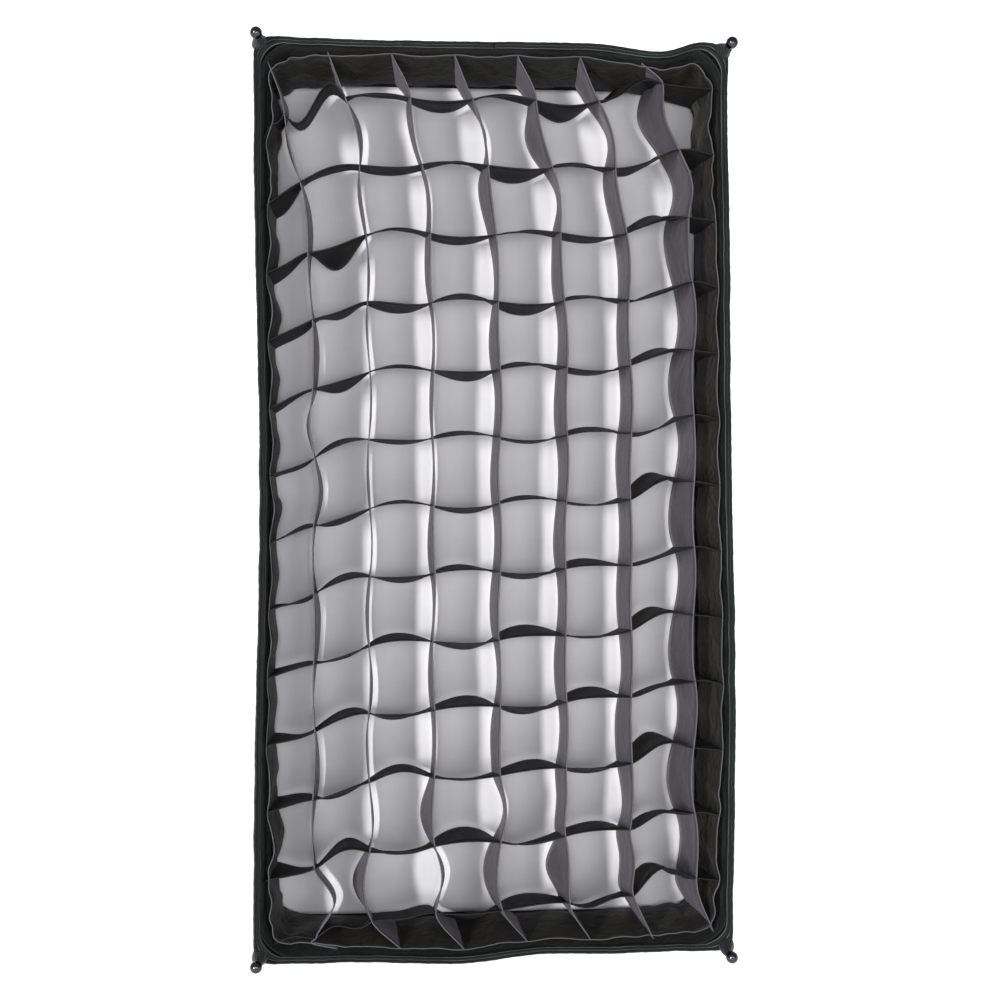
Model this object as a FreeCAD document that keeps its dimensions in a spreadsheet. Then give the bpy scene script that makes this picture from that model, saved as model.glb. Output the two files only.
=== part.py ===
# Strip softbox with a cloth egg-crate grid, on a speed ring with a three-lug bayonet insert.
# Origin: the seating face of the bayonet insert, on the optical axis.
# The light leaves towards -Y, the long side stands along Z, the light head is on the +Y side.
# Every depth in the sheet is a distance in front of the seating face, so it is a -Y position.

import FreeCAD, Part
import Sketcher
import math
import os
import re

sizes = {
    # the cloth box
    "rim_width": 365, "rim_height": 700, "rim_depth": 400,
    "cloth": 1.2, "back_depth": 31, "back_half_width": 84,
    "hem_width": 5, "hem_depth": 12, "hem_outer_radius": 8, "hem_inner_radius": 26,
    # rods, bowed in planes through the optical axis
    "rod_radius": 2, "rod_start_radius": 64, "rod_start_depth": 36, "rod_tip_depth": 413,
    "tip_inset_wide": 3.4, "tip_inset_high": 3.6, "tip_lean": 1,
    "shell_gap_back": 14, "shell_gap_front": 2.5,
    "ball_radius": 4.5, "ball_bore_radius": 2.05, "tab_base_radius": 5, "tab_top_radius": 3.2, "tab_length": 6,
    # bayonet insert, held in the ring by a screwed plate
    "seat_thickness": 5, "seat_radius": 60, "spigot_radius": 49, "spigot_length": 14, "light_bore": 43,
    "lug_reach": 53, "lug_start": 8, "lug_end": 12, "lug_angle": 40,
    "sleeve_radius": 52, "sleeve_depth": 28, "keeper_radius": 57.5, "keeper_thickness": 3,
    "keeper_screw_circle": 47.5, "screw_radius": 1.5, "screw_hole_radius": 1.55, "screw_length": 8,
    "screw_head_radius": 2.8, "screw_head_height": 1.6,
    # speed ring, with a running fit on the insert's sleeve
    "ring_radius": 78, "running_gap": 0.05, "side_gap": 0.3, "ring_groove": 1.5,
    "lock_depth": 14, "stud_radius": 3, "pad_length": 3, "knob_radius": 9, "knob_length": 13,
    "knob_start": 83, "grip_radius": 1.8, "grip_count": 10,
    # rod holders on the ring's front face
    "holder_inner": 59, "holder_outer": 77, "holder_width": 17, "holder_height": 16,
    "holder_bore_radius": 2.2, "holder_screw_radius": 68, "holder_screw_offset": 5.9,
    # rear collar of the cloth box, round the ring
    "collar_gap": 0.3, "collar_start": 23.5,
    # lip: the flared front wall, its lining and its two loop tapes
    "lip_half_width": 178.4, "lip_half_height": 345, "lip_depth": 388, "lip_start": 312,
    "lip_flare_wide": 0.06, "lip_flare_high": 0.12, "lip_radius": 28, "lining": 0.8, "tape": 1,
    "diffuser_tape_start": 314, "diffuser_tape_end": 331, "grid_tape_start": 344, "grid_tape_end": 369,
    # front diffuser
    "diffuser_depth": 332, "soft_cloth": 0.8, "border_inset": 2.1, "border": 1.2, "border_start": 313,
    # inner baffle, on four elastic straps
    "baffle_depth": 190, "baffle_half_width": 108, "baffle_half_height": 216, "baffle_radius": 12,
    "baffle_tape": 12, "strap_width": 14, "strap_length": 44, "strap_place": 84, "patch_height": 16,
    # egg-crate grid
    "grid_back": 342, "grid_front": 392, "strip": 1, "slot": 1.4, "lap": 0.2,
    "column_pitch": 48.5, "columns": 7, "row_pitch": 51.3, "rows": 13,
}

doc = FreeCAD.newDocument("StripSoftbox")
sheet = doc.addObject("Spreadsheet::Sheet", "Sizes")
for row, (alias, value) in enumerate(sizes.items(), start=1):
    sheet.set(f"A{row}", alias)
    sheet.set(f"B{row}", str(value))
    sheet.setAlias(f"B{row}", alias)
doc.recompute()

made = []


def sized(formula):
    """The formula with each of the sheet's words written as a link to its cell."""
    return re.sub(r"[a-z_]+", lambda word: ("Sizes." if word.group() in sizes else "") + word.group(), formula)


def number(formula):
    return float(sheet.evalExpression(formula))


def keep(thing, label):
    thing.Label = label
    made.append(thing)
    return thing


# ---- sketches and PartDesign bodies ----

def new_body(label):
    return keep(doc.addObject("PartDesign::Body", label), label)


def new_sketch(body, role, name):
    sketch = body.newObject("Sketcher::SketchObject", name)
    plane = next(item for item in body.Origin.OriginFeatures if item.Role == role)
    sketch.AttachmentSupport = [(plane, "")]
    sketch.MapMode = "FlatFace"
    return sketch


def pin_point(sketch, line, corner):
    """Tie the start of a line to the sketch's origin by two formulas."""
    for kind, axis, formula in (("DistanceX", -2, corner[0]), ("DistanceY", -1, corner[1])):
        if formula == "0":
            sketch.addConstraint(Sketcher.Constraint("PointOnObject", line, 1, axis))
            continue
        index = sketch.addConstraint(Sketcher.Constraint(kind, -1, 1, line, 1, number(formula)))
        sketch.setExpression(f"Constraints[{index}]", sized(formula))


def outline(sketch, corners):
    """A closed run of straight lines through corners that are pairs of formulas."""
    points = [FreeCAD.Vector(number(across), number(up), 0) for across, up in corners]
    first = sketch.GeometryCount
    count = len(points)
    for i in range(count):
        sketch.addGeometry(Part.LineSegment(points[i], points[(i + 1) % count]))
    for i in range(count):
        sketch.addConstraint(Sketcher.Constraint("Coincident", first + i, 2, first + (i + 1) % count, 1))
        pin_point(sketch, first + i, corners[i])


def circle(sketch, across, up, radius):
    centre = FreeCAD.Vector(number(across), number(up), 0)
    normal = FreeCAD.Vector(0, 0, 1)
    index = sketch.addGeometry(Part.Circle(centre, normal, number(radius)))
    for kind, axis, formula in (("DistanceX", -2, across), ("DistanceY", -1, up)):
        if formula == "0":
            sketch.addConstraint(Sketcher.Constraint("PointOnObject", index, 3, axis))
            continue
        tie = sketch.addConstraint(Sketcher.Constraint(kind, -1, 1, index, 3, number(formula)))
        sketch.setExpression(f"Constraints[{tie}]", sized(formula))
    size = sketch.addConstraint(Sketcher.Constraint("Radius", index, number(radius)))
    sketch.setExpression(f"Constraints[{size}]", sized(radius))


def pad(body, sketch, length, name="Pad", middle=False):
    feature = body.newObject("PartDesign::Pad", name)
    feature.Profile = sketch
    feature.setExpression("Length", sized(length))
    feature.Midplane = middle
    return feature


def pocket(body, sketch, name="Pocket", middle=False, flip=False):
    feature = body.newObject("PartDesign::Pocket", name)
    feature.Profile = sketch
    feature.Type = "ThroughAll"
    feature.Midplane = middle
    feature.Reversed = flip
    return feature


def turned(body, corners, name="Turned", angle=None):
    """Revolve an outline in the XY plane about the Y axis: corners are (radius, Y) formulas."""
    sketch = new_sketch(body, "XY_Plane", name + "Profile")
    outline(sketch, corners)
    feature = body.newObject("PartDesign::Revolution", name)
    feature.Profile = sketch
    feature.ReferenceAxis = (sketch, ["V_Axis"])
    if angle:
        feature.setExpression("Angle", sized(angle))
    return feature


def round_pattern(body, feature, axis_owner, axis, count):
    pattern = body.newObject("PartDesign::PolarPattern", feature.Name + "Round")
    pattern.Originals = [feature]
    pattern.Axis = (axis_owner, [axis])
    pattern.Angle = 360
    pattern.Occurrences = count
    body.Tip = pattern
    return pattern


def soften(body, radius, low, high, name):
    """Round the edges along Y that stand between two distances from the Y axis."""
    doc.recompute()
    base = body.Tip
    names = []
    for i, edge in enumerate(base.Shape.Edges, start=1):
        along = edge.Vertexes[0].Point - edge.Vertexes[-1].Point
        centre = edge.CenterOfMass
        if abs(along.x) + abs(along.z) < 0.01 and low < math.hypot(centre.x, centre.z) < high:
            names.append(f"Edge{i}")
    feature = body.newObject("PartDesign::Fillet", name)
    feature.Base = (base, names)
    feature.setExpression("Radius", sized(radius))
    return feature


def rectangle(half_width, half_height):
    return [("-(" + half_width + ")", "-(" + half_height + ")"), (half_width, "-(" + half_height + ")"),
            (half_width, half_height), ("-(" + half_width + ")", half_height)]


def plate(label, half_width, half_height, radius, thickness, depth):
    """A flat sheet with round corners, its rear face at the stated depth."""
    body = new_body(label)
    sketch = new_sketch(body, "XZ_Plane", label + "Outline")
    outline(sketch, rectangle(half_width, half_height))
    pad(body, sketch, thickness, label + "Pad")
    reach = math.hypot(number(half_width), number(half_height))
    soften(body, radius, reach - 1, reach + 1, label + "Corners")
    body.Placement = FreeCAD.Placement(FreeCAD.Vector(0, -number(depth), 0), FreeCAD.Rotation())
    return body


def frame(label, outer, outer_radius, inner, inner_radius, thickness, depth):
    """A flat frame with round corners outside and inside."""
    body = plate(label, outer[0], outer[1], outer_radius, thickness, depth)
    sketch = new_sketch(body, "XZ_Plane", label + "Window")
    outline(sketch, rectangle(*inner))
    pocket(body, sketch, label + "Cut", middle=True)
    reach = math.hypot(number(inner[0]), number(inner[1]))
    soften(body, inner_radius, reach - 1, reach + 1, label + "WindowCorners")
    return body


# ---- plain shapes, for what is bowed, flared or a group of fasteners ----

def shape_feature(label, shape, placement=FreeCAD.Placement()):
    feature = keep(doc.addObject("Part::Feature", label), label)
    feature.Shape = shape
    feature.Placement = placement
    return feature


def screw(place, direction):
    """A cap screw: its head stands on the surface at place, its shank runs along direction."""
    head = Part.makeCylinder(sheet.screw_head_radius, sheet.screw_head_height, place, direction * -1)
    shank = Part.makeCylinder(sheet.screw_radius, sheet.screw_length, place, direction)
    return head.fuse(shank).removeSplitter()


# Each rod lies in a plane through the optical axis. Within it a place is (radius, depth).
tip_wide = sheet.rim_width / 2 - sheet.tip_inset_wide
tip_high = sheet.rim_height / 2 - sheet.tip_inset_high
tip_radius = math.hypot(tip_wide, tip_high)
corner_angle = math.atan2(tip_high, tip_wide)
lean = math.radians(sheet.tip_lean)
run_out = tip_radius - sheet.rod_start_radius
run_forward = sheet.rod_tip_depth - sheet.rod_start_depth
half_turn = math.atan2(run_out, run_forward) - lean
bend_radius = math.hypot(run_out, run_forward) / 2 / math.sin(half_turn)
start_lean = lean + 2 * half_turn
bend_centre = tip_radius - bend_radius * math.cos(lean)
bend_depth = sheet.rod_tip_depth + bend_radius * math.sin(lean)
print(f"rod bend radius {bend_radius:.1f}, rod length {2 * half_turn * bend_radius:.1f}")


def corner_placement(side, end):
    """Radius, sideways and depth of a rod's plane to the whole box, side and end being -1 or 1."""
    out = FreeCAD.Vector(side * math.cos(corner_angle), 0, end * math.sin(corner_angle))
    forward = FreeCAD.Vector(0, -1, 0)
    return FreeCAD.Placement(FreeCAD.Vector(), FreeCAD.Rotation(out, forward.cross(out), forward, "ZXY"))


def along_depth(radius, depth, angle):
    """A local Z axis that starts at (radius, depth) and leans outwards by angle."""
    turn = FreeCAD.Rotation(FreeCAD.Vector(0, 1, 0), math.degrees(angle))
    return FreeCAD.Placement(FreeCAD.Vector(radius, 0, depth), turn)


corners = {
    "top_left": (-1, 1), "top_right": (1, 1), "bottom_left": (-1, -1), "bottom_right": (1, -1),
}

# ---- bayonet insert and speed ring ----

insert = new_body("bayonet_insert")
turned(insert, [
    ("light_bore", "-sleeve_depth"), ("sleeve_radius", "-sleeve_depth"),
    ("sleeve_radius", "-seat_thickness"), ("seat_radius", "-seat_thickness"),
    ("seat_radius", "0"), ("spigot_radius", "0"),
    ("spigot_radius", "spigot_length"), ("light_bore", "spigot_length"),
], "InsertTurned")
lug = turned(insert, [
    ("spigot_radius - 1", "lug_start"), ("lug_reach", "lug_start"),
    ("lug_reach", "lug_end"), ("spigot_radius - 1", "lug_end"),
], "Lug", "lug_angle")
doc.recompute()
round_pattern(insert, lug, lug.Profile[0], "V_Axis", 3)


def keeper_holes(body, name):
    """Six screw holes along Y on the keeper's circle."""
    sketch = new_sketch(body, "XZ_Plane", name + "Sketch")
    circle(sketch, "keeper_screw_circle", "0", "screw_hole_radius")
    return sketch


hole_sketch = keeper_holes(insert, "InsertHole")
hole_sketch.setExpression("AttachmentOffset.Base.z", sized("sleeve_depth"))
hole = insert.newObject("PartDesign::Pocket", "InsertHole")
hole.Profile = hole_sketch
hole.setExpression("Length", sized("screw_length + 1"))
hole_axis = next(item for item in insert.Origin.OriginFeatures if item.Role == "Y_Axis")
doc.recompute()
round_pattern(insert, hole, hole_axis, "", 6)
doc.recompute()
print(f"insert lost {hole.BaseFeature.Shape.Volume - hole.Shape.Volume:.0f} mm3 to its first screw hole")

keeper = new_body("retaining_plate")
turned(keeper, [
    ("light_bore", "-sleeve_depth"), ("keeper_radius", "-sleeve_depth"),
    ("keeper_radius", "-sleeve_depth - keeper_thickness"), ("light_bore", "-sleeve_depth - keeper_thickness"),
], "KeeperTurned")
keeper_sketch = keeper_holes(keeper, "KeeperHole")
keeper_hole = pocket(keeper, keeper_sketch, "KeeperHole", middle=True)
keeper_axis = next(item for item in keeper.Origin.OriginFeatures if item.Role == "Y_Axis")
doc.recompute()
round_pattern(keeper, keeper_hole, keeper_axis, "", 6)

keeper_screws = []
for i in range(6):
    angle = math.radians(60 * i)
    place = FreeCAD.Vector(sheet.keeper_screw_circle * math.cos(angle),
                           -sheet.sleeve_depth - sheet.keeper_thickness,
                           sheet.keeper_screw_circle * math.sin(angle))
    keeper_screws.append(screw(place, FreeCAD.Vector(0, 1, 0)))
shape_feature("retaining_screws", Part.makeCompound(keeper_screws))

ring = new_body("speed_ring")
turned(ring, [
    ("sleeve_radius + running_gap", "-seat_thickness - side_gap"),
    ("ring_radius - ring_groove", "-seat_thickness - side_gap"),
    ("ring_radius", "-seat_thickness - side_gap - ring_groove"),
    ("ring_radius", "-sleeve_depth + side_gap"),
    ("sleeve_radius + running_gap", "-sleeve_depth + side_gap"),
], "RingTurned")
lock_sketch = new_sketch(ring, "YZ_Plane", "LockHoleSketch")
circle(lock_sketch, "-lock_depth", "0", "stud_radius + running_gap")
doc.recompute()
solid_ring = ring.Shape.Volume
pocket(ring, lock_sketch, "LockHole", flip=True)
holder_hole_sketch = new_sketch(ring, "XZ_Plane", "HolderHoleSketch")
ring_front = sheet.sleeve_depth - sheet.side_gap
holder_screw_places = []
for side, end in corners.values():
    for offset in (-1, 1):
        local = FreeCAD.Vector(sheet.holder_screw_radius, offset * sheet.holder_screw_offset, 0)
        holder_screw_places.append(corner_placement(side, end).multVec(local))
for place in holder_screw_places:
    index = holder_hole_sketch.addGeometry(
        Part.Circle(FreeCAD.Vector(place.x, place.z, 0), FreeCAD.Vector(0, 0, 1), sheet.screw_hole_radius))
    holder_hole_sketch.addConstraint(Sketcher.Constraint("DistanceX", -1, 1, index, 3, place.x))
    holder_hole_sketch.addConstraint(Sketcher.Constraint("DistanceY", -1, 1, index, 3, place.z))
    size = holder_hole_sketch.addConstraint(Sketcher.Constraint("Radius", index, sheet.screw_hole_radius))
    holder_hole_sketch.setExpression(f"Constraints[{size}]", sized("screw_hole_radius"))
pocket(ring, holder_hole_sketch, "HolderHoles", middle=True)
doc.recompute()
print(f"ring lost {solid_ring - ring.Shape.Volume:.0f} mm3 to its holes")

# ---- rod holders, rods, ball tips and corner tabs ----

holder_screws = []
for corner, (side, end) in corners.items():
    whole = corner_placement(side, end)

    block = doc.addObject("Part::Box", "holder_block_" + corner)
    block.setExpression("Length", sized("holder_outer - holder_inner"))
    block.setExpression("Width", sized("holder_width"))
    block.setExpression("Height", sized("holder_height"))
    block.Placement.Base = FreeCAD.Vector(sheet.holder_inner, -sheet.holder_width / 2, ring_front)
    bore = doc.addObject("Part::Cylinder", "holder_bore_" + corner)
    bore.setExpression("Radius", sized("holder_bore_radius"))
    bore.setExpression("Height", sized("holder_outer - holder_inner"))
    bore.Placement = along_depth(sheet.rod_start_radius, sheet.rod_start_depth, start_lean)
    drilled = doc.addObject("Part::Cut", "holder_drilled_" + corner)
    drilled.Base = block
    drilled.Tool = bore
    screw_holes = doc.addObject("Part::MultiFuse", "holder_screw_holes_" + corner)
    holes = []
    for number_in_pair, offset in enumerate((-1, 1)):
        drill = doc.addObject("Part::Cylinder", f"holder_drill_{corner}_{number_in_pair}")
        drill.setExpression("Radius", sized("screw_hole_radius"))
        drill.setExpression("Height", sized("holder_height * 3"))
        drill.Placement.Base = FreeCAD.Vector(sheet.holder_screw_radius, offset * sheet.holder_screw_offset, 0)
        holes.append(drill)
    screw_holes.Shapes = holes
    holder = keep(doc.addObject("Part::Cut", "rod_holder_" + corner), "rod_holder_" + corner)
    holder.Base = drilled
    holder.Tool = screw_holes
    holder.Placement = whole

    rod = keep(doc.addObject("Part::Torus", "rod_" + corner), "rod_" + corner)
    rod.Radius1 = bend_radius
    rod.setExpression("Radius2", sized("rod_radius"))
    rod.Angle3 = math.degrees(2 * half_turn)
    flat = FreeCAD.Rotation(FreeCAD.Vector(1, 0, 0), -90)
    to_tip = FreeCAD.Rotation(FreeCAD.Vector(0, 1, 0), sheet.tip_lean)
    rod.Placement = whole * FreeCAD.Placement(FreeCAD.Vector(bend_centre, 0, bend_depth), to_tip * flat)

    ball_place = along_depth(tip_radius, sheet.rod_tip_depth, lean)
    ball = doc.addObject("Part::Sphere", "ball_" + corner)
    ball.setExpression("Radius", sized("ball_radius"))
    sleeve = doc.addObject("Part::Cone", "ball_sleeve_" + corner)
    sleeve.setExpression("Radius1", sized("ball_bore_radius + 0.7"))
    sleeve.setExpression("Radius2", sized("ball_bore_radius + 1.2"))
    sleeve.setExpression("Height", sized("ball_radius"))
    sleeve.Placement.Base = FreeCAD.Vector(0, 0, -1.25 * sheet.ball_radius)
    solid_ball = doc.addObject("Part::Fuse", "ball_solid_" + corner)
    solid_ball.Base = ball
    solid_ball.Tool = sleeve
    ball_bore = doc.addObject("Part::Cylinder", "ball_bore_" + corner)
    ball_bore.setExpression("Radius", sized("ball_bore_radius"))
    ball_bore.setExpression("Height", sized("ball_radius * 2"))
    ball_bore.Placement.Base = FreeCAD.Vector(0, 0, -2 * sheet.ball_radius)
    tip = keep(doc.addObject("Part::Cut", "ball_tip_" + corner), "ball_tip_" + corner)
    tip.Base = solid_ball
    tip.Tool = ball_bore
    tip.Placement = whole * ball_place

    cone = doc.addObject("Part::Cone", "tab_cone_" + corner)
    cone.setExpression("Radius1", sized("tab_base_radius"))
    cone.setExpression("Radius2", sized("tab_top_radius"))
    cone.setExpression("Height", sized("tab_length"))
    eye = doc.addObject("Part::Cylinder", "tab_eye_" + corner)
    eye.setExpression("Radius", sized("rod_radius + 0.35"))
    eye.setExpression("Height", sized("tab_length"))
    tab = keep(doc.addObject("Part::Cut", "corner_tab_" + corner), "corner_tab_" + corner)
    tab.Base = cone
    tab.Tool = eye
    back_off = sheet.rod_tip_depth - sheet.rim_depth - 0.9
    tab_place = along_depth(tip_radius - back_off * math.tan(lean), sheet.rim_depth + 0.9, lean)
    tab.Placement = whole * tab_place

for place in holder_screw_places:
    head_place = FreeCAD.Vector(place.x, -ring_front - sheet.holder_height, place.z)
    shank_length = sheet.holder_height + sheet.screw_length
    head = Part.makeCylinder(sheet.screw_head_radius, sheet.screw_head_height, head_place, FreeCAD.Vector(0, -1, 0))
    shank = Part.makeCylinder(sheet.screw_radius, shank_length, head_place, FreeCAD.Vector(0, 1, 0))
    holder_screws.append(head.fuse(shank).removeSplitter())
shape_feature("holder_screws", Part.makeCompound(holder_screws))

# ---- lock screw: pressure pad, threaded stud and grip ----

to_side = FreeCAD.Rotation(FreeCAD.Vector(0, 1, 0), 90)
pad_start = sheet.sleeve_radius + sheet.side_gap + 0.1


def side_cylinder(label, radius, length, start):
    part = keep(doc.addObject("Part::Cylinder", label), label)
    part.setExpression("Radius", sized(radius))
    part.setExpression("Height", sized(length))
    part.Placement = FreeCAD.Placement(FreeCAD.Vector(start, -sheet.lock_depth, 0), to_side)
    return part


side_cylinder("lock_pad", "stud_radius - 0.1", "pad_length", pad_start)
stud_start = pad_start + sheet.pad_length + 0.1
side_cylinder("lock_stud", "stud_radius", f"knob_start - {stud_start}", stud_start)

knob = new_body("lock_knob")
knob_sketch = new_sketch(knob, "XY_Plane", "KnobOutline")
circle(knob_sketch, "0", "0", "knob_radius")
pad(knob, knob_sketch, "knob_length", "KnobPad")
grip_sketch = new_sketch(knob, "XY_Plane", "GripSketch")
circle(grip_sketch, "knob_radius + grip_radius / 2", "0", "grip_radius")
grip = pocket(knob, grip_sketch, "Grip", middle=True)
knob_axis = next(item for item in knob.Origin.OriginFeatures if item.Role == "Z_Axis")
doc.recompute()
round_pattern(knob, grip, knob_axis, "", int(sheet.grip_count))
knob.Placement = FreeCAD.Placement(FreeCAD.Vector(sheet.knob_start, -sheet.lock_depth, 0), to_side)

# ---- the cloth box: four bowed panels, rear panel, collar, hem ----

profile_steps = 12


def shell_place(step, out=0):
    """(half width, half height, depth) of the cloth's inner face, or out millimetres outside it."""
    front_angle = math.asin((bend_depth - sheet.lip_depth) / (bend_radius + sheet.shell_gap_front))
    back_angle = math.asin((bend_depth - sheet.back_depth) / (bend_radius + sheet.shell_gap_back))
    share = step / profile_steps
    angle = back_angle + (front_angle - back_angle) * share
    gap = sheet.shell_gap_back + (sheet.shell_gap_front - sheet.shell_gap_back) * share
    radius = bend_centre + (bend_radius + gap) * math.cos(angle)
    depth = bend_depth - (bend_radius + gap) * math.sin(angle)
    front_radius = bend_centre + (bend_radius + sheet.shell_gap_front) * math.cos(front_angle)
    back_radius = bend_centre + (bend_radius + sheet.shell_gap_back) * math.cos(back_angle)
    filled = (radius - back_radius) / (front_radius - back_radius)
    front_half = sheet.rim_width / 2 - 0.5 - sheet.cloth
    half_width = sheet.back_half_width + (front_half - sheet.back_half_width) * filled + out
    top_gap = sheet.rim_height / 2 - 0.6 - sheet.cloth - front_radius * math.sin(corner_angle)
    half_height = radius * math.sin(corner_angle) + top_gap
    steep = math.cos(angle) + 0.25
    return half_width, half_height + out / max(steep, 0.6), depth


def bowed_edge(points):
    curve = Part.BSplineCurve()
    curve.interpolate(points)
    return curve.toShape()


def side_face(wide, low, high):
    """The region between two profiles: across X where wide, else up Z, drawn in its own plane."""
    steps = range(profile_steps + 1)

    def point(step, out):
        half_width, half_height, depth = shell_place(step, out)
        return FreeCAD.Vector(half_width, -depth, 0) if wide else FreeCAD.Vector(0, -depth, half_height)

    inner = [point(step, low) for step in steps]
    outer = [point(step, high) for step in steps]
    inner[0].y = outer[0].y = -sheet.back_depth
    inner[-1].y = outer[-1].y = -sheet.lip_depth
    edges = [bowed_edge(inner), Part.makeLine(inner[-1], outer[-1]), bowed_edge(outer),
             Part.makeLine(outer[0], inner[0])]
    return Part.Face(Part.Wire(Part.__sortEdges__(edges)))


def filled_face(wide, out):
    """The whole region inside the profile, from one side to the other."""
    steps = range(profile_steps + 1)
    right = []
    for step in steps:
        half_width, half_height, depth = shell_place(step, out)
        right.append(FreeCAD.Vector(half_width, -depth, 0) if wide else FreeCAD.Vector(0, -depth, half_height))
    right[0].y = -sheet.back_depth
    right[-1].y = -sheet.lip_depth
    left = [FreeCAD.Vector(-p.x, p.y, -p.z) for p in right]
    edges = [bowed_edge(right), Part.makeLine(right[-1], left[-1]), bowed_edge(left),
             Part.makeLine(left[0], right[0])]
    return Part.Face(Part.Wire(Part.__sortEdges__(edges)))


cloth = sheet.cloth
reach_x = FreeCAD.Vector(sheet.rim_width * 2, 0, 0)
reach_z = FreeCAD.Vector(0, 0, sheet.rim_height * 2)
top_band = side_face(False, 0, cloth)
side_band = side_face(True, 0, cloth)
trim_wide = filled_face(True, cloth)
trim_high = filled_face(False, 0)

top_bar = top_band.translated(reach_x * -0.5).extrude(reach_x)
top_trim = trim_wide.translated(reach_z * -0.5).extrude(reach_z)
top_shape = top_bar.common(top_trim).Solids[0]
side_bar = side_band.translated(reach_z * -0.5).extrude(reach_z)
side_trim = trim_high.translated(reach_x * -0.5).extrude(reach_x)
side_shape = side_bar.common(side_trim).Solids[0]
half_turn_about_axis = FreeCAD.Placement(FreeCAD.Vector(), FreeCAD.Rotation(FreeCAD.Vector(0, 1, 0), 180))
shape_feature("shell_panel_top", top_shape)
shape_feature("shell_panel_bottom", top_shape, half_turn_about_axis)
shape_feature("shell_panel_right", side_shape)
shape_feature("shell_panel_left", side_shape, half_turn_about_axis)

back_wide, back_high, back_at = shell_place(0, cloth)
back = doc.addObject("Part::Box", "back_sheet")
back.Length = 2 * back_wide
back.setExpression("Width", sized("cloth"))
back.Height = 2 * back_high
back.Placement.Base = FreeCAD.Vector(-back_wide, -sheet.back_depth, -back_high)
back_hole = doc.addObject("Part::Cylinder", "back_hole")
back_hole.setExpression("Radius", sized("ring_radius + collar_gap"))
back_hole.setExpression("Height", sized("cloth * 4"))
back_hole.Placement = FreeCAD.Placement(FreeCAD.Vector(0, -sheet.back_depth - 2 * cloth, 0),
                                        FreeCAD.Rotation(FreeCAD.Vector(1, 0, 0), -90))
back_panel = keep(doc.addObject("Part::Cut", "rear_panel"), "rear_panel")
back_panel.Base = back
back_panel.Tool = back_hole

collar = new_body("rear_collar")
turned(collar, [
    ("ring_radius + collar_gap", "-back_depth + cloth"), ("ring_radius + collar_gap + cloth", "-back_depth + cloth"),
    ("ring_radius + collar_gap + cloth", "-collar_start"), ("ring_radius + collar_gap", "-collar_start"),
], "CollarTurned")

hem = frame("rim_hem", ("rim_width / 2", "rim_height / 2"), "hem_outer_radius",
            ("rim_width / 2 - hem_width", "rim_height / 2 - hem_width"), "hem_inner_radius",
            "hem_depth", "rim_depth - hem_depth")
rod_hole_sketch = new_sketch(hem, "XZ_Plane", "RodHoleSketch")
hem_back_off = sheet.rod_tip_depth - sheet.rim_depth + sheet.hem_depth / 2
hem_radius_at_rod = tip_radius - hem_back_off * math.tan(lean) - 0.1
for side, end in corners.values():
    place = FreeCAD.Vector(side * hem_radius_at_rod * math.cos(corner_angle),
                           end * hem_radius_at_rod * math.sin(corner_angle), 0)
    index = rod_hole_sketch.addGeometry(Part.Circle(place, FreeCAD.Vector(0, 0, 1), sheet.rod_radius + 1.3))
    rod_hole_sketch.addConstraint(Sketcher.Constraint("DistanceX", -1, 1, index, 3, place.x))
    rod_hole_sketch.addConstraint(Sketcher.Constraint("DistanceY", -1, 1, index, 3, place.y))
    size = rod_hole_sketch.addConstraint(Sketcher.Constraint("Radius", index, sheet.rod_radius + 1.3))
    rod_hole_sketch.setExpression(f"Constraints[{size}]", sized("rod_radius + 1.3"))
pocket(hem, rod_hole_sketch, "RodHoles", middle=True)

# ---- the flared lip: lining, loop tapes and what fastens to them ----

def rounded_wire(half_width, half_height, radius, depth):
    """A rectangle with round corners, in the plane at a depth."""
    straight = [(half_width, radius - half_height), (half_width, half_height - radius),
                (half_width - radius, half_height), (radius - half_width, half_height),
                (-half_width, half_height - radius), (-half_width, radius - half_height),
                (radius - half_width, -half_height), (half_width - radius, -half_height)]
    ends = [FreeCAD.Vector(across, -depth, up) for across, up in straight]
    edges = []
    for i in range(0, 8, 2):
        edges.append(Part.makeLine(ends[i], ends[i + 1]))
        arc_start, arc_end = ends[i + 1], ends[(i + 2) % 8]
        centre = FreeCAD.Vector(math.copysign(half_width - radius, arc_start.x + arc_end.x), -depth,
                                math.copysign(half_height - radius, arc_start.z + arc_end.z))
        outward = (arc_start + arc_end) * 0.5 - centre
        outward.multiply(radius / outward.Length)
        edges.append(Part.Arc(arc_start, centre + outward, arc_end).toShape())
    return Part.Wire(edges)


def lip_half(depth, inset):
    """Half width and half height of the lip's surface at a depth, inset inwards."""
    back = sheet.lip_depth - depth
    return (sheet.lip_half_width - back * sheet.lip_flare_wide - inset,
            sheet.lip_half_height - back * sheet.lip_flare_high - inset)


def lip_solid(start, end, inset):
    wires = []
    for depth in (start, end):
        half_width, half_height = lip_half(depth, inset)
        wires.append(rounded_wire(half_width, half_height, sheet.lip_radius - inset, depth))
    return Part.makeLoft(wires, True, True)


def lip_band(start, end, inset, thickness):
    """A band that follows the lip all round, between two depths."""
    return lip_solid(start, end, inset).cut(lip_solid(start, end, inset + thickness)).Solids[0]


shape_feature("lip_lining", lip_band(sheet.lip_start, sheet.lip_depth, 0, sheet.lining))
diffuser_tape = lip_band(sheet.diffuser_tape_start, sheet.diffuser_tape_end, sheet.lining, sheet.tape)
grid_tape = lip_band(sheet.grid_tape_start, sheet.grid_tape_end, sheet.lining, sheet.tape)
shape_feature("lip_loop_tapes", Part.makeCompound([diffuser_tape, grid_tape]))

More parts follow.
